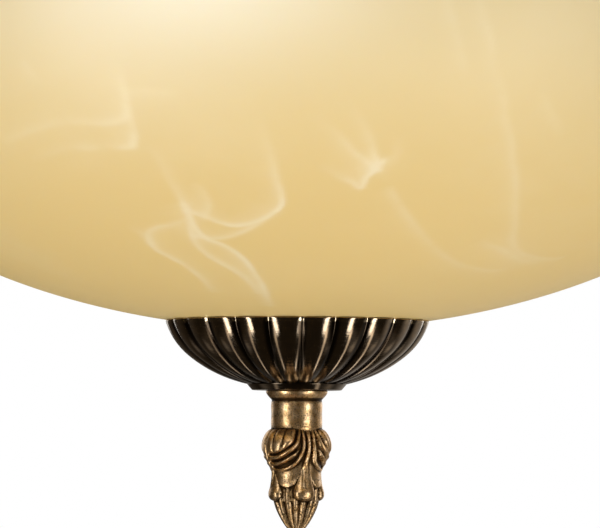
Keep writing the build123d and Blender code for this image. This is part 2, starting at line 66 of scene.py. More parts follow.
# The record says which body carries each node and which finish it has
BODY_OF = {node: body for body, nodes in frame["record"]["behaviour"]["bodies"].items() for node in nodes}
SLOT_OF = {part["node"]: part["material_slot"] for part in frame["record"]["subparts"]}


# Shapes as grids of points


def around(radius, angle, height):
    """Points at a radius, at an angle counted from the front towards +X, and at a height."""
    radius, angle, height = np.broadcast_arrays(radius, angle, height)
    return np.stack([radius * np.sin(angle), -radius * np.cos(angle), height], axis=-1)


def columns_round(count):
    """Equal angles round a full turn, without the repeated last one."""
    return np.arange(count) * TURN / count


def curve_through(knots, at):
    """Cubic curve through (place, value) knots: each piece is a Hermite cubic whose end slopes are the
    finite differences over the neighbouring knots. Outside the knots the end value is kept."""
    place, value = np.array(knots, dtype=float).T
    slope = np.gradient(value, place)
    at = np.clip(at, place[0], place[-1])
    low = np.clip(np.searchsorted(place, at) - 1, 0, len(place) - 2)
    step = place[low + 1] - place[low]
    share = (at - place[low]) / step
    rise = value[low + 1] - value[low]
    left = slope[low] * step - rise
    right = rise - slope[low + 1] * step
    return value[low] + share * rise + share * (1 - share) * (left * (1 - share) + right * share)


def path_through(points, count):
    """Rows spaced evenly along a smooth curve through given points. The first two columns are its places,
    and any further column is carried along."""
    points = np.array(points, dtype=float)
    run = np.concatenate([[0], np.cumsum(np.hypot(*np.diff(points[:, :2], axis=0).T))])
    at = np.linspace(0, run[-1], count)
    return np.column_stack([curve_through(np.column_stack([run, column]), at) for column in points.T])


def ease(low, high, at):
    """Smooth step from 0 at low to 1 at high: 3s squared minus 2s cubed of the clipped share s."""
    share = np.clip((at - low) / (high - low), 0, 1)
    return share * share * (3 - 2 * share)


def soft_max(one, other, reach):
    """The larger of two fields, with a fillet of the given reach where they cross."""
    near = np.clip(1 - np.abs(one - other) / reach, 0, 1)
    return np.maximum(one, other) + near * near * reach / 4


def rounded_section(corners, steps=6):
    """Section through (radius, height, rounding) corners. A rounded corner is the quadratic curve from a
    point its rounding before the corner to one its rounding after it, with a support point at each side."""
    places = np.array(corners, dtype=float)
    out = []
    share = np.linspace(0, 1, steps)[:, None]
    for index, (radius, height, rounding) in enumerate(places):
        here = np.array([radius, height])
        if rounding == 0:
            out.append(here[None])
            continue
        before = places[index - 1, :2] - here
        after = places[(index + 1) % len(places), :2] - here
        start = here + before / np.linalg.norm(before) * rounding
        end = here + after / np.linalg.norm(after) * rounding
        arc = (1 - share) ** 2 * start + 2 * share * (1 - share) * here + share**2 * end
        out.extend([(start + 0.3 * (start - here))[None], arc, (end + 0.3 * (end - here))[None]])
    return np.concatenate(out)


def skin(name, points, loop_rows=True, **fields):
    """Closed mesh over a grid of points in millimetres: columns wrap round, and rows wrap where loop_rows
    is set. A row that has shrunk to one point becomes a pole. The sign of the enclosed volume turns the
    faces outwards. Extra fields, one value for each point, become point attributes."""
    rows, columns, _ = points.shape
    number = np.arange(rows * columns).reshape(rows, columns)
    pole = np.ptp(points, axis=1).max(axis=1) < 1e-6
    number[pole] = number[pole][:, :1]
    lower = number if loop_rows else number[:-1]
    upper = np.roll(number, -1, axis=0) if loop_rows else number[1:]
    quads = np.stack([lower, np.roll(lower, -1, axis=1), np.roll(upper, -1, axis=1), upper], axis=-1)
    quads = quads.reshape(-1, 4)
    from_pole = quads[:, 0] == quads[:, 1]
    to_pole = quads[:, 2] == quads[:, 3]
    fours = quads[~from_pole & ~to_pole]
    threes = np.concatenate([quads[from_pole & ~to_pole][:, [0, 2, 3]], quads[to_pole & ~from_pole][:, :3]])
    flat = points.reshape(-1, 3) * MM
    halves = np.concatenate([fours[:, :3], fours[:, [0, 2, 3]], threes])
    a, b, c = flat[halves[:, 0]], flat[halves[:, 1]], flat[halves[:, 2]]
    if np.einsum("ij,ij->i", a, np.cross(b, c)).sum() < 0:
        fours, threes = fours[:, ::-1], threes[:, ::-1]
    used, corner = np.unique(np.concatenate([fours.ravel(), threes.ravel()]), return_inverse=True)
    starts = np.concatenate([np.arange(len(fours)) * 4, 4 * len(fours) + np.arange(len(threes)) * 3])
    mesh = bpy.data.meshes.new(name)
    mesh.vertices.add(len(used))
    mesh.vertices.foreach_set("co", flat[used].astype(np.float32).ravel())
    mesh.loops.add(len(corner))
    mesh.loops.foreach_set("vertex_index", corner.astype(np.int32))
    mesh.polygons.add(len(starts))
    mesh.polygons.foreach_set("loop_start", starts.astype(np.int32))
    mesh.polygons.foreach_set("use_smooth", np.ones(len(starts), dtype=bool))
    mesh.update(calc_edges=True)
    for key, values in fields.items():
        layer = mesh.attributes.new(key, "FLOAT", "POINT")
        values = np.broadcast_to(values, (rows, columns)).reshape(-1)[used]
        layer.data.foreach_set("value", values.astype(np.float32))
    made = bpy.data.objects.new(name, mesh)
    bpy.context.scene.collection.objects.link(made)
    return made


def stand_in(made, node, material):
    """The made object takes the place of a node: same body, its own material."""
    made.data.materials.append(material)
    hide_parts(node)
    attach(made, BODY_OF[node])


# Materials

# Heights above the bottom of the glass in mm: it is deepest in colour up to one and palest from the other on
GLASS_DEEP = 15.0
GLASS_PALE = 115.0
# The most that the painted glow covers, a cream highlight painted high on the front of the glass
PAINTED_GLOW_STRENGTH = 0.95
# Half of the angle that has drawn veins, and the angle over which the other veins come in
FRONT = math.radians(52)
FRONT_FADE = 0.3


def feed(tree, socket, value):
    """Link another node's socket, or set a constant."""
    if isinstance(value, bpy.types.NodeSocket):
        tree.links.new(value, socket)
    else:
        socket.default_value = value


def add(tree, kind, inputs=None, **settings):
    """New node with its settings and its inputs, which are constants or other nodes' sockets."""
    made = tree.nodes.new(kind)
    for key, value in settings.items():
        setattr(made, key, value)
    for key, value in (inputs or {}).items():
        feed(tree, made.inputs[key], value)
    return made


def calc(tree, operation, one, other=0.0, clamp=False):
    """Result of a Math node."""
    return add(tree, "ShaderNodeMath", {0: one, 1: other}, operation=operation, use_clamp=clamp).outputs[0]


def product(tree, *parts):
    """Product of two or more values."""
    result = parts[0]
    for part in parts[1:]:
        result = calc(tree, "MULTIPLY", result, part)
    return result


def blend(tree, share, one, other):
    """Colour mixed from two by a share."""
    made = add(tree, "ShaderNodeMix", data_type="RGBA")
    for index, value in ((0, share), (6, one), (7, other)):
        feed(tree, made.inputs[index], value)
    return made.outputs[2]


def span(tree, value, low, high, to_low=0.0, to_high=1.0):
    """Value carried from one range to another with a smooth step."""
    names = {"Value": value, "From Min": low, "From Max": high, "To Min": to_low, "To Max": to_high}
    return add(tree, "ShaderNodeMapRange", names, interpolation_type="SMOOTHSTEP").outputs["Result"]


def grain(tree, scale, detail=3.0, stretch=(1.0, 1.0, 1.0), roughness=0.5, distortion=0.0):
    """Noise on object coordinates, with a number of grains per metre and a stretch along each axis."""
    place = add(tree, "ShaderNodeTexCoord").outputs["Object"]
    stretched = add(tree, "ShaderNodeMapping", {"Vector": place, "Scale": stretch}).outputs["Vector"]
    names = {"Vector": stretched, "Scale": scale, "Detail": detail}
    names |= {"Roughness": roughness, "Distortion": distortion}
    return add(tree, "ShaderNodeTexNoise", names).outputs["Fac"]


def bump(tree, height, depth, strength):
    """Normal bent by a height field of the given depth in millimetres."""
    names = {"Strength": strength, "Distance": depth * MM, "Height": height}
    return add(tree, "ShaderNodeBump", names).outputs["Normal"]


def field(tree, name):
    """Point attribute of the piece as a number."""
    return add(tree, "ShaderNodeAttribute", attribute_name=name).outputs["Fac"]


def colour(rgb):
    """Colour property as a four-part value."""
    return (rgb[0], rgb[1], rgb[2], 1.0)


def finish(name):
    """New material with a principled shader: returns the material, its tree and the shader's inputs."""
    material = bpy.data.materials.new(name)
    material.use_nodes = True
    tree = material.node_tree
    tree.nodes.clear()
    shader = add(tree, "ShaderNodeBsdfPrincipled")
    add(tree, "ShaderNodeOutputMaterial", {"Surface": shader.outputs["BSDF"]})
    return material, tree, shader.inputs


def amber_glass(look):
    """Satin marbled glass: cream amber that deepens towards the bottom, cloudy patches, cream veins and a
    painted highlight high on the front. Over the front the veins come from the veil field. Elsewhere they are
    contour lines of a slow noise: pale from one level on with a sharp edge, then fading slowly, and only
    where a second noise lets them show."""
    material, tree, inputs = finish("amber_glass")
    place = add(tree, "ShaderNodeTexCoord").outputs["Object"]
    axes = add(tree, "ShaderNodeSeparateXYZ", {0: place}).outputs
    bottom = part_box("glass_bowl")[0].z
    low = span(tree, axes["Z"], bottom + GLASS_DEEP * MM, bottom + GLASS_PALE * MM, 1.0, 0.0)
    ground = blend(tree, low, colour(look.glass_colour), colour(look.glass_low_colour))
    cloud = span(tree, grain(tree, 9.0, 4.0, distortion=0.6), 0.42, 0.75, 0.0, 0.10)
    ground = blend(tree, cloud, ground, colour(look.vein_colour))
    # Painted highlight: a cream glow high on the front, where the light catches the glass
    drift = product(tree, field(tree, "drift"), PAINTED_GLOW_STRENGTH)
    ground = blend(tree, drift, ground, colour(look.drift_colour))
    ripple = span(tree, grain(tree, 60.0, 3.0, (1.0, 1.0, 1.6), 0.5, 0.4), 0.25, 0.65, 0.40, 0.66)
    front = product(tree, field(tree, "veil"), ripple)
    contour = grain(tree, 8.0, 1.5, (1.0, 1.0, 1.3), 0.4, 1.2)
    edge = span(tree, contour, 0.494, 0.503)
    fading = span(tree, contour, 0.50, 0.56, 0.5, 0.0)
    shown = span(tree, grain(tree, 6.0, 2.0), 0.45, 0.62)
    aside = calc(tree, "ARCTAN2", axes["X"], product(tree, axes["Y"], -1.0))
    behind = span(tree, calc(tree, "ABSOLUTE", aside), FRONT, FRONT + FRONT_FADE)
    pale = calc(tree, "MAXIMUM", front, product(tree, edge, fading, shown, behind))
    feed(tree, inputs["Base Color"], blend(tree, pale, ground, colour(look.vein_colour)))
    inputs["Roughness"].default_value = look.glass_roughness
    inputs["IOR"].default_value = 1.5
    inputs["Subsurface Weight"].default_value = 0.2
    inputs["Subsurface Radius"].default_value = (1.0, 0.75, 0.4)
    inputs["Subsurface Scale"].default_value = 0.002
    inputs["Specular IOR Level"].default_value = 0.35
    feed(tree, inputs["Normal"], bump(tree, grain(tree, 35.0, 2.0), 0.4, 0.2))
    return material


def dark_bronze(look):
    """Polished near-black metal: brown dirt in the grooves and painted shade beside them and low on the dish,
    pale along the lips from wear and painted glints, with fine drawn lines.
    """
    material, tree, inputs = finish("dark_bronze")
    mottle = grain(tree, 260.0, 4.0, (1.0, 1.0, 2.0))
    browner = span(tree, mottle, 0.3, 0.75)
    ground = blend(tree, browner, colour(look.bronze_colour), colour(look.bronze_warm_colour))
    # The groove colour comes in by the hollow field: dirt in the grooves, painted shade over the flanks
    # beside them and over the lower dish
    ground = blend(tree, product(tree, field(tree, "hollow"), 0.9), ground, colour(look.groove_dirt_and_shade_colour))
    # Pale lip: wear, and painted glints at the grooves where the lip catches the light
    worn_and_glint = product(tree, field(tree, "wear"), span(tree, grain(tree, 700.0, 3.0), 0.3, 0.65))
    feed(tree, inputs["Base Color"], blend(tree, worn_and_glint, ground, colour(look.worn_and_glint_colour)))
    inputs["Metallic"].default_value = 1.0
    lines = grain(tree, 900.0, 2.0, (0.12, 0.12, 3.0))
    smooth = look.bronze_roughness
    feed(tree, inputs["Roughness"], span(tree, lines, 0.3, 0.7, smooth, smooth + 0.07))
    uneven = calc(tree, "ADD", lines, product(tree, mottle, 0.5))
    feed(tree, inputs["Normal"], bump(tree, uneven, 0.07, 0.5))
    # The metal is drawn round the axis, so its reflections spread up and down
    inputs["Anisotropic"].default_value = 0.8
    inputs["Anisotropic Rotation"].default_value = 0.25
    tangent = add(tree, "ShaderNodeTangent", direction_type="RADIAL", axis="Z")
    feed(tree, inputs["Tangent"], tangent.outputs[0])
    return material


def antique_brass(look):
    """Sand-cast brass: bright on the crests, brown patina and painted shade by the hollow field, sandy
    speckle and pits.
    """
    material, tree, inputs = finish("antique_brass")
    speckle = grain(tree, 1700.0, 2.0, roughness=0.6)
    rubbed = span(tree, grain(tree, 420.0, 3.0), 0.35, 0.7)
    ground = blend(tree, rubbed, colour(look.brass_colour), colour(look.brass_pale_colour))
    hollow = field(tree, "hollow")
    patina_and_shade_share = calc(tree, "ADD", hollow, span(tree, speckle, 0.46, 0.72, 0.0, 0.75), True)
    feed(tree, inputs["Base Color"], blend(tree, patina_and_shade_share, ground, colour(look.patina_and_shade_colour)))
    inputs["Metallic"].default_value = 1.0
    sandy = span(tree, speckle, 0.3, 0.75, look.brass_roughness, look.brass_roughness + 0.14)
    feed(tree, inputs["Roughness"], calc(tree, "ADD", sandy, product(tree, hollow, 0.2), True))
    feed(tree, inputs["Normal"], bump(tree, speckle, 0.1, 0.6))
    return material


def plain_metal(name, tone, roughness, grains):
    """Plated or bare sheet metal with cloudy tone and fine grain."""
    material, tree, inputs = finish(name)
    cloud = grain(tree, grains / 6, 3.0)
    dark = tuple(part * 0.72 for part in tone)
    feed(tree, inputs["Base Color"], blend(tree, span(tree, cloud, 0.3, 0.7), colour(dark), colour(tone)))
    inputs["Metallic"].default_value = 1.0
    fine = grain(tree, grains, 3.0)
    feed(tree, inputs["Roughness"], span(tree, fine, 0.3, 0.7, roughness, roughness + 0.15))
    feed(tree, inputs["Normal"], bump(tree, fine, 0.08, 0.5))
    return material


def plain_moulded(name, tone, roughness, grains, coat=0.0):
    """Rubber, ceramic, plastic or opal glass: slightly uneven tone under an even surface."""
    material, tree, inputs = finish(name)
    cloud = grain(tree, grains / 20, 3.0)
    dark = tuple(part * 0.86 for part in tone)
    feed(tree, inputs["Base Color"], blend(tree, span(tree, cloud, 0.3, 0.7), colour(dark), colour(tone)))
    fine = grain(tree, grains, 3.0)
    feed(tree, inputs["Roughness"], span(tree, fine, 0.3, 0.7, roughness, min(roughness + 0.12, 1.0)))
    inputs["Coat Weight"].default_value = coat
    inputs["Coat Roughness"].default_value = 0.06
    feed(tree, inputs["Normal"], bump(tree, fine, 0.1, 0.4))
    return material


def soften(tolerance):
    """Node group that joins a solid's loose triangles and shades them smooth, except over sharp edges:
    an edge is sharp where its two faces meet at more than the tolerance."""
    group = bpy.data.node_groups.new("soften", "GeometryNodeTree")
    group.interface.new_socket("Geometry", in_out="INPUT", socket_type="NodeSocketGeometry")
    group.interface.new_socket("Geometry", in_out="OUTPUT", socket_type="NodeSocketGeometry")
    start = add(group, "NodeGroupInput").outputs[0]
    joined = add(group, "GeometryNodeMergeByDistance", {"Geometry": start, "Distance": 1e-6}).outputs[0]
    names = {"Geometry": joined, "Shade Smooth": True}
    faces = add(group, "GeometryNodeSetShadeSmooth", names, domain="FACE")
    bend = add(group, "GeometryNodeInputMeshEdgeAngle").outputs["Unsigned Angle"]
    flat = add(group, "FunctionNodeCompare", {0: bend, 1: tolerance}, operation="LESS_THAN").outputs[0]
    names = {"Geometry": faces.outputs[0], "Shade Smooth": flat}
    edges = add(group, "GeometryNodeSetShadeSmooth", names, domain="EDGE")
    add(group, "NodeGroupOutput", {0: edges.outputs[0]})
    return group


# Settings that a user would change


def length(name, description, default):
    """Length property in millimetres."""
    return FloatProperty(name=name, description=description, default=default, min=0.0, soft_max=500.0)


def angle(name, description, default):
    """Angle property, given in degrees and kept in radians."""
    kind = {"subtype": "ANGLE", "unit": "ROTATION"}
    return FloatProperty(name=name, description=description, default=math.radians(default), **kind)


def tint(name, description, default):
    """Colour property."""
    kind = {"subtype": "COLOR", "min": 0.0, "max": 1.0}
    return FloatVectorProperty(name=name, description=description, default=default, **kind)


def share(name, description, default):
    """Share between nothing and all."""
    kind = {"subtype": "FACTOR", "min": 0.0, "max": 1.0}
    return FloatProperty(name=name, description=description, default=default, **kind)


def whole(name, description, default):
    """Whole number property."""
    return IntProperty(name=name, description=description, default=default, min=3)


class ChandelierLook(bpy.types.PropertyGroup):
    """Colours and finishes."""

    glass_colour: tint("Glass", "Cream amber ground of the marbled glass", (0.72, 0.57, 0.295))
    glass_low_colour: tint("Glass Bottom", "Deeper amber near the bottom", (0.785, 0.559, 0.216))
    vein_colour: tint("Veins", "Cream veins in the glass", (0.93, 0.83, 0.60))
    # The painted glow colour is a painted highlight, the palest glass high on the front
    drift_colour: tint("Drift", "Palest glass, high on the front", (0.99, 0.91, 0.72))
    glass_roughness: share("Glass Roughness", "Roughness of the satin glass", 0.42)
    bronze_colour: tint("Bronze", "Near-black polished bronze", (0.200, 0.155, 0.110))
    bronze_warm_colour: tint("Warm Bronze", "Browner clouds in the bronze", (0.270, 0.200, 0.130))
    # The groove colour is dirt in the grooves and painted shade beside them and low on the dish
    groove_dirt_and_shade_colour: tint("Bronze Grooves", "Dirt in the grooves of the bronze", (0.012, 0.008, 0.005))
    # The worn colour is wear along the lip and painted glints at its grooves
    worn_and_glint_colour: tint("Worn Bronze", "Metal that shows where a lip is worn", (0.62, 0.50, 0.33))
    bronze_roughness: share("Bronze Roughness", "Roughness of the polished bronze", 0.10)
    brass_colour: tint("Brass", "Antique brass", (0.70, 0.43, 0.185))
    brass_pale_colour: tint("Pale Brass", "Rubbed patches of the brass", (0.96, 0.67, 0.38))
    # The patina colour is patina in the hollows, and painted shade over the downward bud
    patina_and_shade_colour: tint("Patina", "Brown patina in the hollows", (0.035, 0.018, 0.006))
    brass_roughness: share("Brass Roughness", "Roughness of the cast brass", 0.255)


class BowlSize(bpy.types.PropertyGroup):
    """Sizes of the glass bowl."""

    wall: length("Wall", "Thickness of the glass", 4.0)
    band: length("Band", "Upright band above the widest level", 14.0)
    pad: length("Pad", "Radius of the flat pad round the rod", 26.0)
    hole: length("Hole", "Radius of the hole for the rod", 5.55)
    columns_front: whole("Front Columns", "Columns over the veined front", 268)
    columns_back: whole("Other Columns", "Columns over the rest", 92)
    rows: whole("Rows", "Rows over the veined outside", 218)


class FluteSize(bpy.types.PropertyGroup):
    """Sizes shared by the fluted cup and the fluted canopy."""

    lobes: whole("Lobes", "Convex flutes round the dish", 24)
    phase: angle("Phase", "Angle of the first groove from the front", 2.1)
    depth: share("Depth", "Depth of a groove as a share of the radius there", 0.028)
    foot_angle: angle("Foot Angle", "Place of the foot on the elliptic profile", 71.7)
    rim_angle: angle("Rim Angle", "Place of the rim on the elliptic profile", 13.2)
    wall: length("Wall", "Thickness of the metal", 1.0)
    cup_radius: length("Cup Radius", "Radius of the cup's rim", 50.0)
    cup_foot: length("Cup Foot", "Radius of the cup's foot", 18.9)
    cup_foot_height: length("Cup Foot Height", "Height of the cup's foot", 2.3)
    canopy_radius: length("Canopy Radius", "Radius of the canopy's rim", 63.0)
    canopy_foot: length("Canopy Foot", "Radius of the canopy's foot", 21.0)
    canopy_foot_height: length("Canopy Foot Height", "Height of the canopy's foot", 2.5)
    bore: length("Bore", "Radius of the hole for the rod", 5.25)
    taper: length("Foot Taper", "Narrowing of the foot towards its flat face", 2.0)


class FinialSize(bpy.types.PropertyGroup):
    """Sizes of the cast finial."""

    phase: angle("Phase", "Angle of the front leaf from the front", 21.0)
    lean: angle("Lean", "Turn of the swags about the axis from their foot to their top", 6.0)
    swag_draw: share("Swag Draw", "Share of its radius by which a swag is drawn in at its ends", 0.15)
    swag_crease: length("Swag Crease", "Depth of the crease in the middle of a swag", 0.7)
    rib_width: length("Rib Width", "Half the width of a rib", 0.9)
    rib_height: length("Rib Height", "Height of a rib above the groove beside it", 1.6)
    bud_ribs: whole("Bud Ribs", "Ribs round the bud", 16)
    bore: length("Bore", "Radius of the threaded hole", 5.05)
    bore_depth: length("Bore Depth", "Depth of the threaded hole", 14.0)
    face: length("Face", "Radius of the flat top of the collar", 10.8)
    seat_gap: length("Seat Gap", "Gap between the collar and the foot of the cup", 0.05)


class StudioSize(bpy.types.PropertyGroup):
    """Camera, lights and floor."""

    distance: length("Distance", "Distance from the camera to the axis of the lamp", 1800.0)
    width: length("Width", "Width of the picture at the axis", 227.4)
    elevation: angle("Elevation", "Height of the camera above the horizon", -2.6)
    roll: angle("Roll", "Turn of the camera about its line of sight", 0.3)
    aim_side: length("Aim Side", "Middle of the picture, to the right of the axis", 0.95)
    aim_height: length("Aim Height", "Middle of the picture, above the bottom of the bowl", 24.9)
    floor_drop: length("Floor Drop", "Distance from the ceiling to the floor", 2400.0)


# Pieces

# Veins of the front of the bowl: each runs through points given by x and the height above the bowl's
# bottom, in mm, and by its strength there. It has a sharp edge on the left of its run and a veil on the right
VEINS = (
    (
        (-13.5, 69, 0.0), (-11.5, 61, 0.12), (-9, 53.5, 0.3), (-7, 46, 0.5), (-5.5, 41.5, 0.7),
        (-5.4, 38.9, 0.9), (-6.6, 37.2, 1.0), (-8.8, 35.9, 1.0), (-12.5, 34, 0.9), (-17.5, 32.5, 0.8),
        (-21.5, 32, 0.75), (-27, 33, 0.6), (-32.5, 35, 0.6), (-37.5, 36.5, 0.8),
    ),
    (
        (-4.5, 37.5, 0.0), (-9.5, 35, 0.3), (-15, 32, 0.5), (-20.5, 29.5, 0.5), (-28, 28, 0.45),
        (-34.5, 28.5, 0.5),
    ),
    (
        (-39, 38, 0.5), (-38, 36.5, 1.0), (-37, 33.5, 0.9), (-35, 30.5, 0.9), (-32, 28, 0.8),
        (-26.5, 26, 0.75), (-21, 23, 0.8), (-17.5, 20, 0.8), (-15, 16.5, 0.75), (-12.5, 13, 0.7),
        (-11, 9.5, 0.5), (-10, 7, 0.3),
    ),
    (
        (-14.5, 11, 0.3), (-17, 14, 0.5), (-21, 17, 0.5), (-27, 20, 0.55), (-31.5, 22.5, 0.5),
        (-35.5, 26, 0.5), (-37, 28.5, 0.6), (-37.5, 32.5, 0.5), (-38, 35.5, 0.4),
    ),
    (
        (-31, 11.5, 0.2), (-33, 14, 0.4), (-36.5, 17, 0.45), (-41, 20, 0.5), (-46, 22.5, 0.5),
        (-50.5, 25, 0.5), (-52.5, 27.5, 0.5), (-52.5, 30, 0.5), (-50, 31.5, 0.5), (-45, 32.5, 0.4),
        (-38.5, 34, 0.35),
    ),
    ((-52, 27, 0.25), (-54.5, 29.5, 0.2), (-57.5, 31, 0.1), (-61, 32, 0.0)),
    (
        (-39, 37, 0.6), (-40.5, 40.5, 0.4), (-42.5, 44, 0.28), (-44.5, 47, 0.2), (-46.5, 51.5, 0.15),
        (-49, 55.5, 0.1), (-52, 58.5, 0.0),
    ),
    ((-37.5, 46, 0.0), (-34, 44, 0.2), (-32, 41.5, 0.35), (-31, 38.5, 0.4), (-32.5, 35, 0.3)),
    (
        (-62.5, 85.5, 0.0), (-61, 81.5, 0.15), (-60, 77.5, 0.3), (-59, 74, 0.4), (-58.5, 70, 0.45),
        (-57.5, 66.5, 0.4), (-56.5, 63, 0.4), (-56.5, 59, 0.45),
    ),
    (
        (-58.5, 69.5, 0.3), (-59.5, 67, 0.45), (-62, 66, 0.45), (-68, 65.5, 0.35), (-75, 66, 0.25),
        (-81.5, 66, 0.25), (-87.5, 65, 0.25), (-94, 63.5, 0.2), (-101, 61, 0.15),
    ),
    (
        (-56.5, 60, 0.3), (-57.5, 58, 0.5), (-60.5, 57.5, 0.5), (-65.5, 58, 0.2), (-72.5, 57.5, 0.35),
        (-79, 58, 0.2), (-86, 56.5, 0.15), (-93.5, 54.5, 0.0),
    ),
    ((-58, 75.5, 0.2), (-52.5, 75.5, 0.2), (-45.5, 75, 0.15), (-37, 74, 0.0)),
    (
        (6, 70, 0.0), (8.5, 65.5, 0.06), (11.5, 63, 0.12), (16, 59, 0.28), (19.5, 55.5, 0.42),
        (23.5, 53, 0.55), (27, 51, 0.9),
    ),
    (
        (16.5, 73, 0.0), (19.5, 69, 0.08), (22, 65, 0.15), (24.5, 60.5, 0.3), (26, 56, 0.45),
        (27.5, 52, 0.85),
    ),
    (
        (28.5, 52, 0.9), (26.5, 50, 0.9), (23.5, 47, 0.8), (22, 44.5, 0.65), (19, 46, 0.5),
        (14.5, 48, 0.25), (11, 50, 0.12), (7, 52, 0.0),
    ),
    ((27.5, 51, 0.5), (31, 53, 0.28), (33.5, 55, 0.18), (34, 58.5, 0.08), (33.5, 62, 0.0)),
    (
        (69, 80.5, 0.0), (70.5, 75, 0.2), (71.5, 67.5, 0.3), (73.5, 61.5, 0.35), (74.5, 55, 0.35),
        (76, 48.5, 0.35), (76.5, 42, 0.35), (77, 34, 0.3), (77, 28.5, 0.35), (79, 25.5, 0.4),
        (84, 24, 0.35), (91, 23.5, 0.3), (101, 25, 0.0),
    ),
    ((65, 29, 0.0), (68.5, 27, 0.2), (72.5, 26, 0.3), (77, 24, 0.35), (82, 22.5, 0.2), (88, 22, 0.0)),
    (
        (31.5, 45.5, 0.0), (33, 42.5, 0.3), (35.5, 39, 0.3), (39, 35, 0.3), (43, 30.5, 0.25),
        (47.5, 26.5, 0.2), (52.5, 23, 0.25), (58.5, 20.5, 0.3), (64, 19.5, 0.3), (70.5, 19, 0.2),
        (77, 20, 0.0),
    ),
    ((50, 106.5, 0.15), (52, 100, 0.2), (54, 94, 0.2), (55.5, 87.5, 0.15), (57.5, 80, 0.0)),
    ((61, 107, 0.15), (63.5, 99.5, 0.2), (65.5, 93, 0.2), (66.5, 85.5, 0.1), (68.5, 80, 0.1)),
    ((83, 78, 0.0), (86, 72, 0.15), (89.5, 66.5, 0.15), (92, 61.5, 0.0)),
    ((-95.5, 88, 0.0), (-93.5, 84.5, 0.2), (-90.5, 81, 0.1), (-88, 78, 0.0)),
)
# In mm: the step along a vein, and the distance past which it is left out
VEIN_STEP = 1.0
VEIN_REACH = 14.0
# In mm: the half width of a vein of no strength, the reach of its veil's slow part and of its ends
VEIN_WIDEST = 1.9
VEIL_REACH = 4.2
VEIN_END = 2.0
# The veil's quick part is this much wider than the sharp side, its slow part has this share
VEIL_WIDER = 1.35
VEIL_SLOW = 0.48
# The most that one vein can whiten the glass
VEIN_MOST = 0.95
# The painted glow, a cream highlight painted on the glass, in mm: its middle by x and height, and its
# reach to the left, to the right and upright
PAINTED_GLOW_SIDE = -38.0
PAINTED_GLOW_HEIGHT = 125.0
PAINTED_GLOW_LEFT = 50.0
PAINTED_GLOW_RIGHT = 60.0
PAINTED_GLOW_UPRIGHT = 34.0
# The close rows over the veins lie between these two angles from the axis
VEINED_FROM = math.radians(13)
VEINED_TO = math.radians(80)


def vein_veil(places, radius_at):
    """How pale each place on the glass is, from 0 to 1. A vein is a smooth curve on the glass, and a place's
    distance is taken square to the vein at its nearest point. Left of the run the veil falls off as a narrow
    bell curve, right of it as a bell curve and a slow exponential, and past an end as a bell curve. A faint
    vein is wider. Where veins cross, the shares that they leave clear are multiplied."""
    clear = np.ones(len(places))
    for points in VEINS:
        count = int(np.hypot(*np.diff(np.array(points)[:, :2], axis=0).T).sum() / VEIN_STEP) + 2
        x, height, strength = path_through(points, count).T
        path = np.column_stack([x, -np.sqrt(radius_at(height) ** 2 - x**2), height])
        run = np.gradient(path, axis=0)
        run /= np.linalg.norm(run, axis=1)[:, None]
        least, most = path.min(axis=0) - VEIN_REACH, path.max(axis=0) + VEIN_REACH
        near = np.all((places > least) & (places < most), axis=1)
        gap = places[near][:, None, :] - path[None, :, :]
        nearest = (gap**2).sum(axis=2).argmin(axis=1)
        gap = gap[np.arange(len(nearest)), nearest]
        run = run[nearest]
        along = (gap * run).sum(axis=1)
        off = np.sqrt(np.maximum((gap**2).sum(axis=1) - along**2, 0.0))
        right = gap[:, 0] * run[:, 2] - gap[:, 2] * run[:, 0] > 0
        strength = strength[nearest]
        width = VEIN_WIDEST - strength
        sharp = np.exp(-((off / width) ** 2))
        quick = np.exp(-((off / (VEIL_WIDER * width)) ** 2))
        soft = (1 - VEIL_SLOW) * quick + VEIL_SLOW * np.exp(-off / VEIL_REACH)
        past = np.maximum(np.abs(along) - VEIN_STEP, 0.0)
        veil = strength * np.where(right, soft, sharp) * np.exp(-((past / VEIN_END) ** 2))
        clear[near] *= 1 - np.clip(veil, 0.0, VEIN_MOST)
    return 1 - clear


def cream_drift(places):
    """One broad cream patch of painted highlight high on the front: a bell curve over x and height, steeper
    on the left.
    """
    beside = places[:, 0] - PAINTED_GLOW_SIDE
    above = (places[:, 2] - PAINTED_GLOW_HEIGHT) / PAINTED_GLOW_UPRIGHT
    return np.exp(-((beside / np.where(beside < 0, PAINTED_GLOW_LEFT, PAINTED_GLOW_RIGHT)) ** 2) - above**2)


def bowl_section(size, outer, depth, middle, top):
    """Closed section of the bowl as radius and height, and the number of its rows outside, below the band: a
    quarter ellipse and an upright band outside, a half circle for the lip, and inside a smaller ellipse and a
    level pad. Rows lie close together over the veins, and wider apart in the cup and near the rim."""
    cup_rows, rim_rows, band_rows, lip_rows, inner_rows = 5, 10, 5, 9, 20
    bend = np.concatenate([
        np.linspace(math.asin(size.hole / outer), VEINED_FROM, cup_rows, endpoint=False),
        np.linspace(VEINED_FROM, VEINED_TO, size.rows, endpoint=False),
        np.linspace(VEINED_TO, math.pi / 2, rim_rows),
    ])
    outside = np.column_stack([outer * np.sin(bend), middle - depth * np.cos(bend)])
    lip = size.wall / 2
    upright = np.linspace(middle, top - lip, band_rows + 2)[1:-1]
    band = np.column_stack([np.full(band_rows, outer), upright])
    crown = np.linspace(0, math.pi, lip_rows)
    edge = np.column_stack([outer - lip + lip * np.cos(crown), top - lip + lip * np.sin(crown)])
    inner = outer - size.wall
    back = np.linspace(math.pi / 2, math.asin(size.pad / inner), inner_rows)
    inside = np.column_stack([inner * np.sin(back), middle - (depth - size.wall) * np.cos(back)])
    floor = inside[-1, 1]
    pad = np.array([(size.pad * 0.6, floor), (size.hole, floor)])
    return np.concatenate([outside, band, edge, inside, pad]), len(outside)


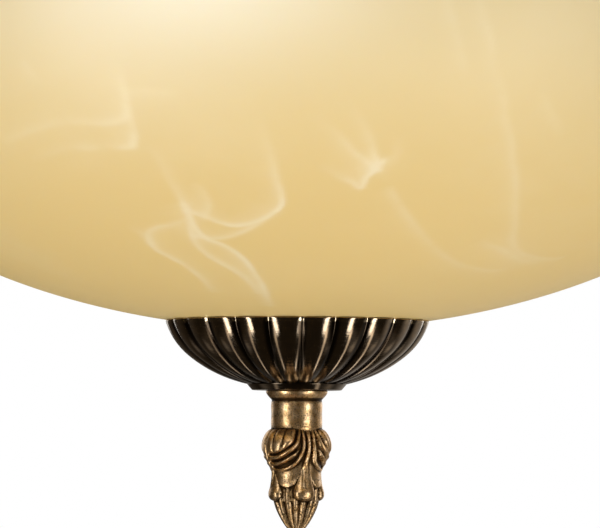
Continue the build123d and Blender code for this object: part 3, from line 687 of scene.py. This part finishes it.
class CHANDELIER_OT_bowl(bpy.types.Operator):
    """Build the marbled glass bowl"""

    bl_idname = "chandelier.bowl"
    bl_label = "Glass Bowl"

    def execute(self, context):
        size = context.scene.bowl_size
        low, high = (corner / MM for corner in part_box("glass_bowl"))
        outer = high.x
        depth = high.z - low.z - size.band
        section, rows = bowl_section(size, outer, depth, low.z + depth, high.z)
        front = np.linspace(-FRONT, FRONT, size.columns_front, endpoint=False)
        rest = np.linspace(FRONT, TURN - FRONT, size.columns_back, endpoint=False)
        turn = np.concatenate([front, rest])[None, :]
        points = around(section[:, :1], turn, section[:, 1:2])

        def radius_at(height):
            """Radius of the outside at a height above the bottom."""
            return outer * np.sqrt(np.maximum(1 - (1 - np.minimum(height / depth, 1)) ** 2, 0.0))

        veil = np.zeros(points.shape[:2])
        drift = np.zeros(points.shape[:2])
        veined = (slice(0, rows), slice(0, size.columns_front))
        places = points[veined].reshape(-1, 3) - np.array([0.0, 0.0, low.z])
        veil[veined] = vein_veil(places, radius_at).reshape(veil[veined].shape)
        drift[veined] = cream_drift(places).reshape(veil[veined].shape)
        made = skin("glass_bowl_dressed", points, veil=veil, drift=drift)
        stand_in(made, "glass_bowl", amber_glass(context.scene.chandelier_look))
        return {"FINISHED"}


# Mesh of a gadrooned dish: columns across a lobe, rows outside, round the lip and inside, and rows below
# the lip that take wear and painted glints
LOBE_COLUMNS = 28
OUTER_ROWS = 84
LIP_ROWS = 9
INNER_ROWS = 24
WORN_GLINT_ROWS = 4


def fluted_shell(node, size, foot, foot_height, rim, lip_follow, material):
    """Gadrooned dish of thin metal on a tapered foot. Its profile is an ellipse between the foot and the rim,
    and each point is pushed in along the profile's normal by a groove field: for t from -1 to 1 across a
    lobe, 0.92 t squared plus 0.08 t to the 20th, so that a lobe is evenly round across and the groove
    between two lobes is narrow and sharp. The rim rises by lip_follow, a function of the radius, so that it
    lies along the glass. The hollow field is dirt in the grooves and painted shade over the flanks
    beside them and over the lower part of the dish, and it is half on over the foot. The wear field
    lies along the lip, most of all at the grooves: it is wear, and painted glints where the lip catches the
    light."""
    low, high = (corner.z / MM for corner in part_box(node))
    turn = columns_round(size.lobes * LOBE_COLUMNS)
    t = 2 * (((turn - size.phase) * size.lobes / TURN) % 1.0) - 1
    groove = 0.92 * t**2 + 0.08 * t**20
    foot_bend, rim_bend = size.foot_angle, size.rim_angle
    half_width = (rim - foot) / (math.cos(rim_bend) - math.cos(foot_bend))
    half_height = (high - low - foot_height) / (math.sin(foot_bend) - math.sin(rim_bend))

    def dish(bend, inset):
        """Radius and height above the foot's face over a column of bends of the ellipse, moved in along its
        normal by an inset and by the groove."""
        radius = rim + half_width * (np.cos(bend) - math.cos(rim_bend))
        height = high - low - half_height * (np.sin(bend) - math.sin(rim_bend))
        out = np.stack([np.cos(bend) / half_width, -np.sin(bend) / half_height])
        out = out / np.hypot(*out)
        radius, height = radius - inset * out[0], height - inset * out[1]
        depth = size.depth * radius * groove
        return radius - depth * out[0], height - depth * out[1]

    outer_r, outer_z = dish(np.linspace(foot_bend, rim_bend, OUTER_ROWS)[:, None], 0.0)
    inner_r, inner_z = dish(np.linspace(rim_bend, foot_bend, INNER_ROWS)[:, None], size.wall)
    # The rim is a half round bead that joins the last outer row to the first inner row
    crown = np.linspace(0, math.pi, LIP_ROWS + 2)[1:-1, None]
    mid_r, mid_z = (outer_r[-1] + inner_r[0]) / 2, (outer_z[-1] + inner_z[0]) / 2
    half_r, half_z = (outer_r[-1] - inner_r[0]) / 2, (outer_z[-1] - inner_z[0]) / 2
    bead = size.wall * 0.5
    lip_r = mid_r + half_r * np.cos(crown) + 0.15 * bead * np.sin(crown)
    lip_z = mid_z + half_z * np.cos(crown) + bead * np.sin(crown)
    foot_face = foot - size.taper
    # The foot has rounded edges and a small step up to the dish
    edge, shoulder, rise = 0.35, 2.0, 0.4
    steps = [(size.bore, 0.0, 0), (foot_face, 0.0, edge), (foot, foot_height, edge)]
    foot_out = rounded_section(steps + [(foot - shoulder, foot_height + rise, 0)])
    foot_in = np.array([(foot_face - size.wall, size.wall), (size.bore, size.wall)])
    ones = np.ones((1, len(turn)))
    grids = [
        (foot_out[:, :1] * ones, foot_out[:, 1:2] * ones),
        (outer_r, outer_z),
        (lip_r, lip_z),
        (inner_r, inner_z),
        (foot_in[:, :1] * ones, foot_in[:, 1:2] * ones),
    ]
    r = np.concatenate([grid[0] for grid in grids])
    z = np.concatenate([grid[1] for grid in grids])
    z = z + (lip_follow(r) - lip_follow(rim)) * ease(0.35, 1.0, z / (high - low))
    begin = len(foot_out)
    lip = begin + OUTER_ROWS
    # Painted shade over the lower part of the dish and over each lobe's flanks; the grooves themselves hold
    # dirt
    painted_low_shade = 0.8 * (1 - ease(0.12, 0.36, np.linspace(0, 1, OUTER_ROWS)[:, None]))
    hollow = np.zeros(r.shape)
    hollow[:begin] = 0.5
    hollow[begin:lip] = painted_low_shade + (1 - painted_low_shade) * ease(0.60, 0.85, np.abs(t))
    wear = np.zeros(r.shape)
    # Wear along the lip, and painted glints that grow towards each groove
    wear[lip - WORN_GLINT_ROWS : lip + LIP_ROWS] = 0.15 + 0.85 * ease(0.70, 0.85, np.abs(t))
    made = skin(node + "_dressed", around(r, turn[None, :], low + z), hollow=hollow, wear=wear)
    stand_in(made, node, material)
    return made


class CHANDELIER_OT_fluted(bpy.types.Operator):
    """Build the gadrooned cup under the bowl and the gadrooned canopy on the ceiling"""

    bl_idname = "chandelier.fluted"
    bl_label = "Fluted Cup and Canopy"

    def execute(self, context):
        size = context.scene.flute_size
        material = dark_bronze(context.scene.chandelier_look)
        glass_low, glass_high = (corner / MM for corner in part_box("glass_bowl"))
        bowl = context.scene.bowl_size
        depth = glass_high.z - glass_low.z - bowl.band

        def along_glass(radius):
            """Height of the outside of the bowl at a radius, above its bottom."""
            reach = np.minimum(radius / glass_high.x, 0.9)
            return depth * (1 - np.sqrt(1 - reach**2))

        def along_ceiling(radius):
            """The ceiling is level."""
            return radius * 0.0

        cup = (size.cup_foot, size.cup_foot_height, size.cup_radius, along_glass)
        canopy = (size.canopy_foot, size.canopy_foot_height, size.canopy_radius, along_ceiling)
        for node, shape in (("fluted_cup", cup), ("canopy", canopy)):
            fluted_shell(node, size, *shape, material)
        return {"FINISHED"}


# Shape of the finial by its drop below its top, in mm: turned radii, then the casting's own outlines
FINIAL_TURNED = (
    (0.0, 11.35), (0.4, 11.65), (0.9, 11.6), (1.6, 11.25), (2.3, 10.7), (2.9, 10.15), (3.35, 9.7),
    (3.6, 9.5), (4.0, 9.5), (4.5, 9.6), (9.0, 9.6), (13.4, 9.65), (14.3, 9.6), (15.2, 9.3), (24.0, 9.1),
    (31.0, 9.2), (33.5, 9.15), (36.4, 9.3), (37.0, 9.1),
)
LOBE_REACH = (
    (14.2, 9.3), (15.0, 10.5), (15.9, 11.4), (17.4, 12.35), (18.95, 12.95), (20.5, 13.25), (22.0, 13.2),
    (23.5, 12.9), (25.0, 12.5), (26.5, 11.75), (28.0, 11.0), (29.6, 10.1), (31.1, 9.2), (32.0, 8.6),
)
LEAF_REACH = (
    (24.0, 10.0), (28.0, 10.0), (31.0, 9.6), (33.5, 9.7), (36.5, 10.2), (39.0, 10.8), (40.4, 10.6),
    (41.6, 9.6), (42.2, 8.4),
)
LEAF_WIDTH = (
    (24.0, 0.9), (28.0, 1.3), (31.0, 2.3), (33.5, 3.3), (36.5, 4.4), (39.0, 4.8), (40.4, 4.4), (41.4, 2.8),
    (41.9, 0.4),
)
BUD_REACH = (
    (36.0, 8.6), (39.0, 8.7), (41.7, 8.6), (43.2, 8.25), (44.7, 7.75), (46.2, 7.1), (47.8, 6.3),
    (49.3, 5.45), (50.8, 4.45), (52.3, 3.3), (53.6, 2.1), (54.6, 1.0), (55.1, 0.0),
)
STRAND_REACH = ((15.0, 9.2), (17.0, 10.6), (20.0, 11.5), (24.0, 11.2), (28.0, 10.0), (29.5, 9.4))
# Rows of the finial's mesh from one drop to another, and its columns
FINIAL_ROWS = ((0.0, 4.6, 22), (4.6, 14.0, 16), (14.0, 31.6, 128), (31.6, 42.6, 62), (42.6, 54.9, 36))
FINIAL_COLUMNS = 360
# Radii under the strands and under the leaves, and the radius at which a leaf's width is counted
STRAND_ROOT = 8.6
LEAF_ROOT = 8.2
LEAF_RADIUS = 10.0
# Half widths of a strand and of the crease in a swag's middle
STRAND_WIDTH = 0.95
CREASE_WIDTH = 0.45
# Drops at both ends of the leaves, at the top of the bud and at the end of the tongues over it, the length
# of a tongue, and the share of the bud's radius that a groove takes
LEAF_TOP = 24.0
LEAF_END = 42.0
BUD_TOP = 31.0
TONGUE_END = 36.7
TONGUE_LENGTH = 5.0
BUD_GROOVE = 0.13
# The ornament: its top, its height and the length of a quarter of its girth
ORNAMENT_TOP = 14.8
ORNAMENT_HEIGHT = 16.45
QUARTER_ARC = 18.0
# Ribs of one quarter of the ornament: share of the way from a rising valley to a falling one, and share of
# its height
RIBS = (
    ((0.225, 0.02), (0.24, 0.13), (0.295, 0.35), (0.44, 0.50), (0.65, 0.63), (1.0, 0.655)),
    ((0.21, 0.44), (0.26, 0.50), (0.325, 0.587), (0.43, 0.674), (0.685, 0.783), (1.0, 0.79)),
    (
        (0.15, 0.0), (0.125, 0.20), (0.125, 0.40), (0.165, 0.58), (0.21, 0.70), (0.385, 0.87),
        (0.667, 0.946), (1.0, 0.93),
    ),
)
# Points along a rib
RIB_POINTS = 70
# Petals: shares of the way at the grooves beside them, their sweep aside, in mm their gap from the first rib
# and the width of their round shoulder, and how far their sides lie below their middle
PETAL_GROOVES = (0.20, 0.55, 0.78, 1.02)
PETAL_SWEEP = 0.12
PETAL_GAP = 1.5
PETAL_SHOULDER = 1.5
PETAL_ROUND = 0.36


def swag_relief(local, drop, size):
    """How far the carving of a swag stands out, from 0 in its grooves to 1 on its crests: round ribs along
    curves, and petals with round shoulders above the first rib. The carving runs out into a plain edge near
    the swag's middle, wider on one side of it."""
    way = np.abs(local) / (math.pi / 2)
    across = way * QUARTER_ARC
    down = drop - ORNAMENT_TOP
    raised = np.zeros(way.shape)
    distances = []
    for number, rib in enumerate(RIBS):
        x, y = path_through([(w * QUARTER_ARC, v * ORNAMENT_HEIGHT) for w, v in rib], RIB_POINTS).T
        gap = np.hypot(across[..., None] - x, down[..., None] - y)
        along = gap.argmin(axis=-1) / (RIB_POINTS - 1)
        away = gap.min(axis=-1)
        distances.append(away)
        # The second rib starts almost as a point, the others a little narrower than they end
        taper = 0.8 * ease(-0.05, 0.30, along) if number == 1 else 0.8 + 0.2 * ease(0.0, 0.4, along)
        raised = np.maximum(raised, np.maximum(1 - (away / (size.rib_width * taper)) ** 2, 0.0) ** 0.65)
    border = np.interp(way, *np.array(RIBS[0]).T) * ORNAMENT_HEIGHT
    above = np.where(down < border, distances[0], -distances[0]) - PETAL_GAP
    sweep = PETAL_SWEEP * np.clip(down / np.maximum(border, 1.0), 0.0, 1.0)
    root = (way - sweep) / (1 - sweep)
    grooves = np.array(PETAL_GROOVES)
    edge = np.searchsorted(grooves, root).clip(1, len(grooves) - 1)
    cell = np.clip((root - grooves[edge - 1]) / (grooves[edge] - grooves[edge - 1]), 0.0, 1.0)
    petal = 1.0 - PETAL_ROUND * np.abs(2 * cell - 1) ** 4
    shoulder = np.sqrt(1 - (1 - np.clip(above / PETAL_SHOULDER, 0.0, 1.0)) ** 2)
    raised = np.maximum(raised, petal * shoulder * ease(0.15, 0.22, root))
    plain = np.where(local > 0, ease(0.74, 0.83, way), ease(0.88, 0.97, way))
    return raised + (1 - raised) * 0.9 * plain


def swags(local, drop, size):
    """Radius of the two swags: drawn in at the rising valleys beside them, full from half way on, creased in
    their middle and carved."""
    way = np.abs(local) / (math.pi / 2)
    drawn = size.swag_draw * (1 - ease(0.0, 0.5, way))
    crease = size.swag_crease * np.exp(-(((1 - way) * QUARTER_ARC / CREASE_WIDTH) ** 2))
    lobe = curve_through(LOBE_REACH, drop) * (1 - drawn) - crease
    return lobe - size.rib_height * (1 - swag_relief(local, drop, size))


def strands(way, drop):
    """Radius of the two strands: round bars that run down the rising valleys."""
    bar = np.sqrt(np.maximum(1 - (way * QUARTER_ARC / STRAND_WIDTH) ** 2, 0.0))
    bar = (curve_through(STRAND_REACH, drop) - STRAND_ROOT) * bar
    return bar * ease(14.6, 15.6, drop) * ease(29.5, 28.0, drop) + STRAND_ROOT


def leaf_tips(way, drop):
    """Radius of the four leaf tips, one below each valley: a round bulge as wide as the leaf, with two fine
    ridges beside its middle."""
    spot = np.minimum(way, 1 - way) * (math.pi / 2) * LEAF_RADIUS
    bulge = np.maximum(1 - np.abs(spot / curve_through(LEAF_WIDTH, drop)) ** 3, 0.0) ** 0.5
    height, aside, width = 0.30, 0.5, 0.24
    ridge = height * np.exp(-(((spot - aside) / width) ** 2))
    ridge = ridge * ease(27.0, 29.0, drop) * ease(38.0, 35.0, drop)
    leaf = LEAF_ROOT + (curve_through(LEAF_REACH, drop) - LEAF_ROOT) * bulge + ridge
    return np.where((drop > LEAF_TOP) & (drop < LEAF_END), leaf, 0.0)


def ribbed_bud(turn, drop, size):
    """Radius of the bud: a turned outline with round ribs that run out at its tip."""
    wave = np.abs(np.cos((turn - size.phase) * size.bud_ribs / 2))
    groove = BUD_GROOVE * (1 - wave**1.2) * ease(54.5, 50.0, drop)
    return np.where(drop > BUD_TOP, curve_through(BUD_REACH, drop) * (1 - groove), 0.0)


def finial_radius(turn, drop, size):
    """Radius of the casting over angle and drop: the largest, with fillets, of a turned core, two swags, two
    strands, four leaf tips and a ribbed bud. The swags turn a little about the axis on their way down."""
    lean = size.lean * ease(31.0, 22.0, drop)
    local = (turn - size.phase - lean + math.pi / 2) % math.pi - math.pi / 2
    way = np.abs(local) / (math.pi / 2)
    core = curve_through(FINIAL_TURNED, drop)
    inside = ease(ORNAMENT_TOP - 0.7, ORNAMENT_TOP + 0.3, drop) * ease(32.0, 30.8, drop)
    swag = core + (swags(local, drop, size) - core) * inside
    shape = np.where(inside > 0, soft_max(core, swag, 0.25), core)
    shape = soft_max(shape, strands(way, drop), 0.2)
    # The bud comes out from under the waist, whose lower edge is a row of round tongues
    tongue = TONGUE_END - TONGUE_LENGTH * np.minimum(np.abs(way - 0.5) / 0.36, 1.0) ** 2.5
    shape = np.where(drop < tongue, shape, 0.0)
    shape = np.maximum(shape, ribbed_bud(turn, drop, size))
    return soft_max(shape, leaf_tips(way, drop), 0.15)


def blurred(values, reach):
    """Mean of a grid over a square window, wrapped across columns and held at the first and last row."""
    total = np.zeros(values.shape)
    for step in range(-reach, reach + 1):
        total += np.roll(values, step, axis=1)
    total /= 2 * reach + 1
    padded = np.pad(total, ((reach, reach), (0, 0)), mode="edge")
    return sum(padded[start : start + len(values)] for start in range(2 * reach + 1)) / (2 * reach + 1)


class CHANDELIER_OT_finial(bpy.types.Operator):
    """Build the cast finial with its swags, leaf tips and bud"""

    bl_idname = "chandelier.finial"
    bl_label = "Finial"

    def execute(self, context):
        size = context.scene.finial_size
        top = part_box("finial")[1].z / MM - size.seat_gap
        rows = [np.linspace(start, end, count, endpoint=False) for start, end, count in FINIAL_ROWS]
        drop = np.concatenate(rows + [[FINIAL_ROWS[-1][1]]])[:, None]
        turn = columns_round(FINIAL_COLUMNS)[None, :]
        radius = finial_radius(turn + 0 * drop, drop + 0 * turn, size)
        # Patina lies where the surface is lower than its own mean round about, and thinly all over; the more
        # that lies over the bud, which faces down, is painted shade
        dent = (blurred(radius, 4) + blurred(radius, 9)) / 2 - radius
        patina_and_bud_shade = 0.08 + 0.32 * ease(37.0, 43.0, drop)
        hollow = patina_and_bud_shade + (1 - patina_and_bud_shade) * np.clip(5.0 * dent, 0, 1)
        end = size.bore_depth
        bore = np.array([(0.0, end), (size.bore, end), (size.bore, 0.0), (size.face, 0.0)])
        ones = np.ones((1, turn.shape[1]))
        r = np.concatenate([bore[:, :1] * ones, radius, 0 * ones])
        down = np.concatenate([bore[:, 1:2], drop, [[BUD_REACH[-1][0]]]]) * ones
        dark = np.concatenate([0.3 + 0 * bore[:, :1] * ones, hollow, 0.1 * ones])
        made = skin("finial_dressed", around(r, turn, top - down), loop_rows=False, hollow=dark)
        stand_in(made, "finial", antique_brass(context.scene.chandelier_look))
        return {"FINISHED"}


class CHANDELIER_OT_fittings(bpy.types.Operator):
    """Finish the pieces that keep their solid: column, chain, hub, arms, lamp holders, bulbs and fixings"""

    bl_idname = "chandelier.fittings"
    bl_label = "Fittings"

    def execute(self, context):
        finishes = {
            "dark_bronze": bpy.data.materials["dark_bronze"],
            "antique_brass": bpy.data.materials["antique_brass"],
            "bright_brass": plain_metal("bright_brass", (0.80, 0.60, 0.26), 0.22, 1500.0),
            "zinc_steel": plain_metal("zinc_steel", (0.62, 0.62, 0.60), 0.30, 1200.0),
            "bulb_metal": plain_metal("bulb_metal", (0.70, 0.70, 0.70), 0.26, 1400.0),
            "black_rubber": plain_moulded("black_rubber", (0.03, 0.03, 0.03), 0.70, 2500.0),
            "porcelain": plain_moulded("porcelain", (0.82, 0.79, 0.72), 0.22, 900.0, 0.6),
            "terminal_plastic": plain_moulded("terminal_plastic", (0.80, 0.79, 0.75), 0.45, 1800.0),
            "bulb_glass": plain_moulded("bulb_glass", (0.93, 0.92, 0.88), 0.28, 700.0, 0.3),
        }
        group = soften(math.radians(32))
        for node, solid in frame["nodes"].items():
            if solid.hide_render:
                continue
            solid.data.materials.clear()
            solid.data.materials.append(finishes[SLOT_OF[node]])
            solid.modifiers.new("soften", "NODES").node_group = group
        return {"FINISHED"}


# Lights: name, angle from the front and height above the horizon in degrees, distance, width and height
# in mm, and radiance
LIGHTS = (
    ("key", -12.0, 30.0, 2000.0, 900.0, 700.0, 4.2),
    ("left_strip", -50.0, -22.0, 1800.0, 360.0, 2050.0, 7.2),
    ("right_strip", 50.0, -22.0, 1800.0, 360.0, 2050.0, 7.2),
    ("back_left", -150.0, 14.0, 1900.0, 1000.0, 1500.0, 1.0),
    ("back_right", 150.0, 14.0, 1900.0, 1000.0, 1500.0, 1.0),
)


def frame_facing(place, aim, roll=0.0):
    """Placement at a point whose -Z axis looks at the aim, upright, then rolled about its line of sight."""
    forward = (aim - place).normalized()
    right = forward.cross(Vector((0, 0, 1))).normalized()
    up = right.cross(forward)
    turned_right = right * math.cos(roll) + up * math.sin(roll)
    turned_up = up * math.cos(roll) - right * math.sin(roll)
    axes = Matrix((turned_right, turned_up, -forward)).transposed().to_4x4()
    axes.translation = place
    return axes


# Strength of the world as light on the object, and the least of it that a reflection sees
WORLD_LIGHT = 0.425
WORLD_MIRRORED = 0.035


def studio_mirrored(tree):
    """How bright the studio is to a reflection: grey at the back, most on the right, and paler low down at
    both sides, where the paper sweeps round and the strips go on below their lamps."""
    toward = add(tree, "ShaderNodeSeparateXYZ", {0: add(tree, "ShaderNodeTexCoord").outputs["Generated"]})
    x, y, z = (toward.outputs[axis] for axis in "XYZ")
    back = product(tree, span(tree, y, 0.05, 0.55, 0.0, 0.42), span(tree, z, -0.75, -0.30))
    back = product(tree, back, span(tree, x, -0.25, 0.25, 0.08, 1.0))
    # The share of a direction across the view, from 0 straight ahead to 1 square to it, on the level
    level_part = calc(tree, "SQRT", calc(tree, "SUBTRACT", 1.0001, calc(tree, "POWER", z, 2.0)))
    aside = calc(tree, "ABSOLUTE", x)
    across = span(tree, calc(tree, "DIVIDE", aside, level_part), 0.84, 0.94, 1.0, 0.15)
    paper = product(tree, span(tree, aside, 0.42, 0.56, 0.0, 0.7), across)
    # Metal that faces one angle from the front mirrors a strip, whatever its slope. The tangent of that
    # angle is x over 1 - y, and a little more than 1 keeps it finite
    leant = calc(tree, "DIVIDE", aside, calc(tree, "SUBTRACT", 1.02, y))
    strip = product(tree, span(tree, leant, 0.40, 0.45), span(tree, leant, 0.48, 0.55, 1.0, 0.0))
    strip = product(tree, strip, span(tree, z, -0.95, -0.79, 1.1, 3.2))
    low_down = span(tree, z, -0.76, -0.58, 1.0, 0.0)
    side = product(tree, calc(tree, "ADD", paper, strip), low_down, span(tree, x, -0.25, 0.25, 0.5, 1.0))
    return calc(tree, "ADD", back, side)


def studio_world():
    """World that is white behind the object and sheds an even light. Reflections see the studio in it, dim
    and warm in front, as the camera's side is."""
    world = bpy.data.worlds.new("studio")
    bpy.context.scene.world = world
    world.use_nodes = True
    tree = world.node_tree
    tree.nodes.clear()
    path = add(tree, "ShaderNodeLightPath").outputs
    around_it = studio_mirrored(tree)
    mirrored = calc(tree, "MAXIMUM", path["Is Glossy Ray"], path["Is Transmission Ray"])
    level = add(tree, "ShaderNodeMix", data_type="FLOAT")
    feed(tree, level.inputs[0], mirrored)
    feed(tree, level.inputs[2], WORLD_LIGHT)
    feed(tree, level.inputs[3], calc(tree, "ADD", around_it, WORLD_MIRRORED))
    seen = calc(tree, "MAXIMUM", path["Is Camera Ray"], level.outputs[0])
    warm = product(tree, mirrored, span(tree, around_it, 0.0, 0.1, 1.0, 0.0))
    tone = blend(tree, mirrored, (1.0, 1.0, 1.0, 1.0), (1.0, 0.91, 0.80, 1.0))
    tone = blend(tree, warm, tone, (1.0, 0.78, 0.52, 1.0))
    glow = add(tree, "ShaderNodeBackground", {"Color": tone, "Strength": seen})
    add(tree, "ShaderNodeOutputWorld", {"Surface": glow.outputs[0]})


def studio_floor(size):
    """Pale floor far below the lamp: a flat square, white to the camera where no shadow falls."""
    half = 6000.0
    side = np.array([-half, half])
    x, y = np.meshgrid(side, side)
    corners = np.stack([x, y, np.full(x.shape, -size.floor_drop)], axis=-1).reshape(-1, 3) * MM
    mesh = bpy.data.meshes.new("studio_floor")
    mesh.from_pydata(corners.tolist(), [], [(0, 1, 3, 2)])
    made = bpy.data.objects.new("studio_floor", mesh)
    bpy.context.scene.collection.objects.link(made)
    material, tree, inputs = finish("pale_floor")
    pale = blend(tree, grain(tree, 3.0), (0.84, 0.84, 0.83, 1.0), (0.88, 0.88, 0.87, 1.0))
    feed(tree, inputs["Base Color"], pale)
    inputs["Roughness"].default_value = 0.9
    # To the camera the floor is pale under the lamp, where it keeps the shadow, and white farther out
    place = add(tree, "ShaderNodeTexCoord").outputs["Object"]
    away = add(tree, "ShaderNodeVectorMath", {0: place}, operation="LENGTH").outputs["Value"]
    near = size.floor_drop * MM
    glow = span(tree, away, near * 1.1, near * 1.6, 0.55, 1.0)
    seen = add(tree, "ShaderNodeLightPath").outputs["Is Camera Ray"]
    inputs["Emission Color"].default_value = (1.0, 1.0, 1.0, 1.0)
    feed(tree, inputs["Emission Strength"], product(tree, seen, glow))
    mesh.materials.append(material)
    made.visible_glossy = False


class CHANDELIER_OT_studio(bpy.types.Operator):
    """Set the camera, the soft boxes, the pale floor and the white world"""

    bl_idname = "chandelier.studio"
    bl_label = "Studio"

    def execute(self, context):
        scene = context.scene
        size = scene.studio_size
        scene.view_settings.view_transform = "Standard"
        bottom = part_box("glass_bowl")[0].z
        aim = Vector((size.aim_side * MM, 0.0, bottom + size.aim_height * MM))
        distance = size.distance * MM
        away = Vector((0.0, -math.cos(size.elevation), math.sin(size.elevation))) * distance
        camera = bpy.data.cameras.new("camera")
        camera.lens = camera.sensor_width * size.distance / size.width
        viewer = bpy.data.objects.new("camera", camera)
        viewer.matrix_world = frame_facing(aim + away, aim, size.roll)
        scene.collection.objects.link(viewer)
        scene.camera = viewer
        for name, side, up, reach, width, height, radiance in LIGHTS:
            lamp = bpy.data.lights.new(name, "AREA")
            lamp.shape = "RECTANGLE"
            lamp.size = width * MM
            lamp.size_y = height * MM
            lamp.energy = radiance * math.pi * width * height * MM * MM
            made = bpy.data.objects.new(name, lamp)
            side, up = math.radians(side), math.radians(up)
            where = Vector((math.sin(side) * math.cos(up), -math.cos(side) * math.cos(up), math.sin(up)))
            made.matrix_world = frame_facing(aim + where * reach * MM, aim)
            scene.collection.objects.link(made)
        studio_world()
        studio_floor(size)
        return {"FINISHED"}


class CHANDELIER_PT_panel(bpy.types.Panel):
    """Sizes, colours and build steps of the chandelier"""

    bl_label = "Bowl Chandelier"
    bl_idname = "CHANDELIER_PT_panel"
    bl_space_type = "VIEW_3D"
    bl_region_type = "UI"
    bl_category = "Chandelier"

    def draw(self, context):
        for name in SETTINGS:
            group = getattr(context.scene, name)
            box = self.layout.box()
            for key in group.__annotations__:
                box.prop(group, key)
        for operator in OPERATORS:
            self.layout.operator(operator.bl_idname)


SETTINGS = {
    "chandelier_look": ChandelierLook,
    "bowl_size": BowlSize,
    "flute_size": FluteSize,
    "finial_size": FinialSize,
    "studio_size": StudioSize,
}
OPERATORS = (
    CHANDELIER_OT_bowl,
    CHANDELIER_OT_fluted,
    CHANDELIER_OT_finial,
    CHANDELIER_OT_fittings,
    CHANDELIER_OT_studio,
)


def register():
    """Add the settings, the operators and the panel."""
    for name, group in SETTINGS.items():
        bpy.utils.register_class(group)
        setattr(bpy.types.Scene, name, PointerProperty(type=group))
    for operator in OPERATORS:
        bpy.utils.register_class(operator)
    bpy.utils.register_class(CHANDELIER_PT_panel)


def unregister():
    """Take the panel, the operators and the settings away again."""
    bpy.utils.unregister_class(CHANDELIER_PT_panel)
    for operator in reversed(OPERATORS):
        bpy.utils.unregister_class(operator)
    for name, group in SETTINGS.items():
        delattr(bpy.types.Scene, name)
        bpy.utils.unregister_class(group)


def main():
    """Register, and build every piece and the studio."""
    register()
    bpy.ops.chandelier.bowl()
    bpy.ops.chandelier.fluted()
    bpy.ops.chandelier.finial()
    bpy.ops.chandelier.fittings()
    bpy.ops.chandelier.studio()


if __name__ == "__main__":
    main()
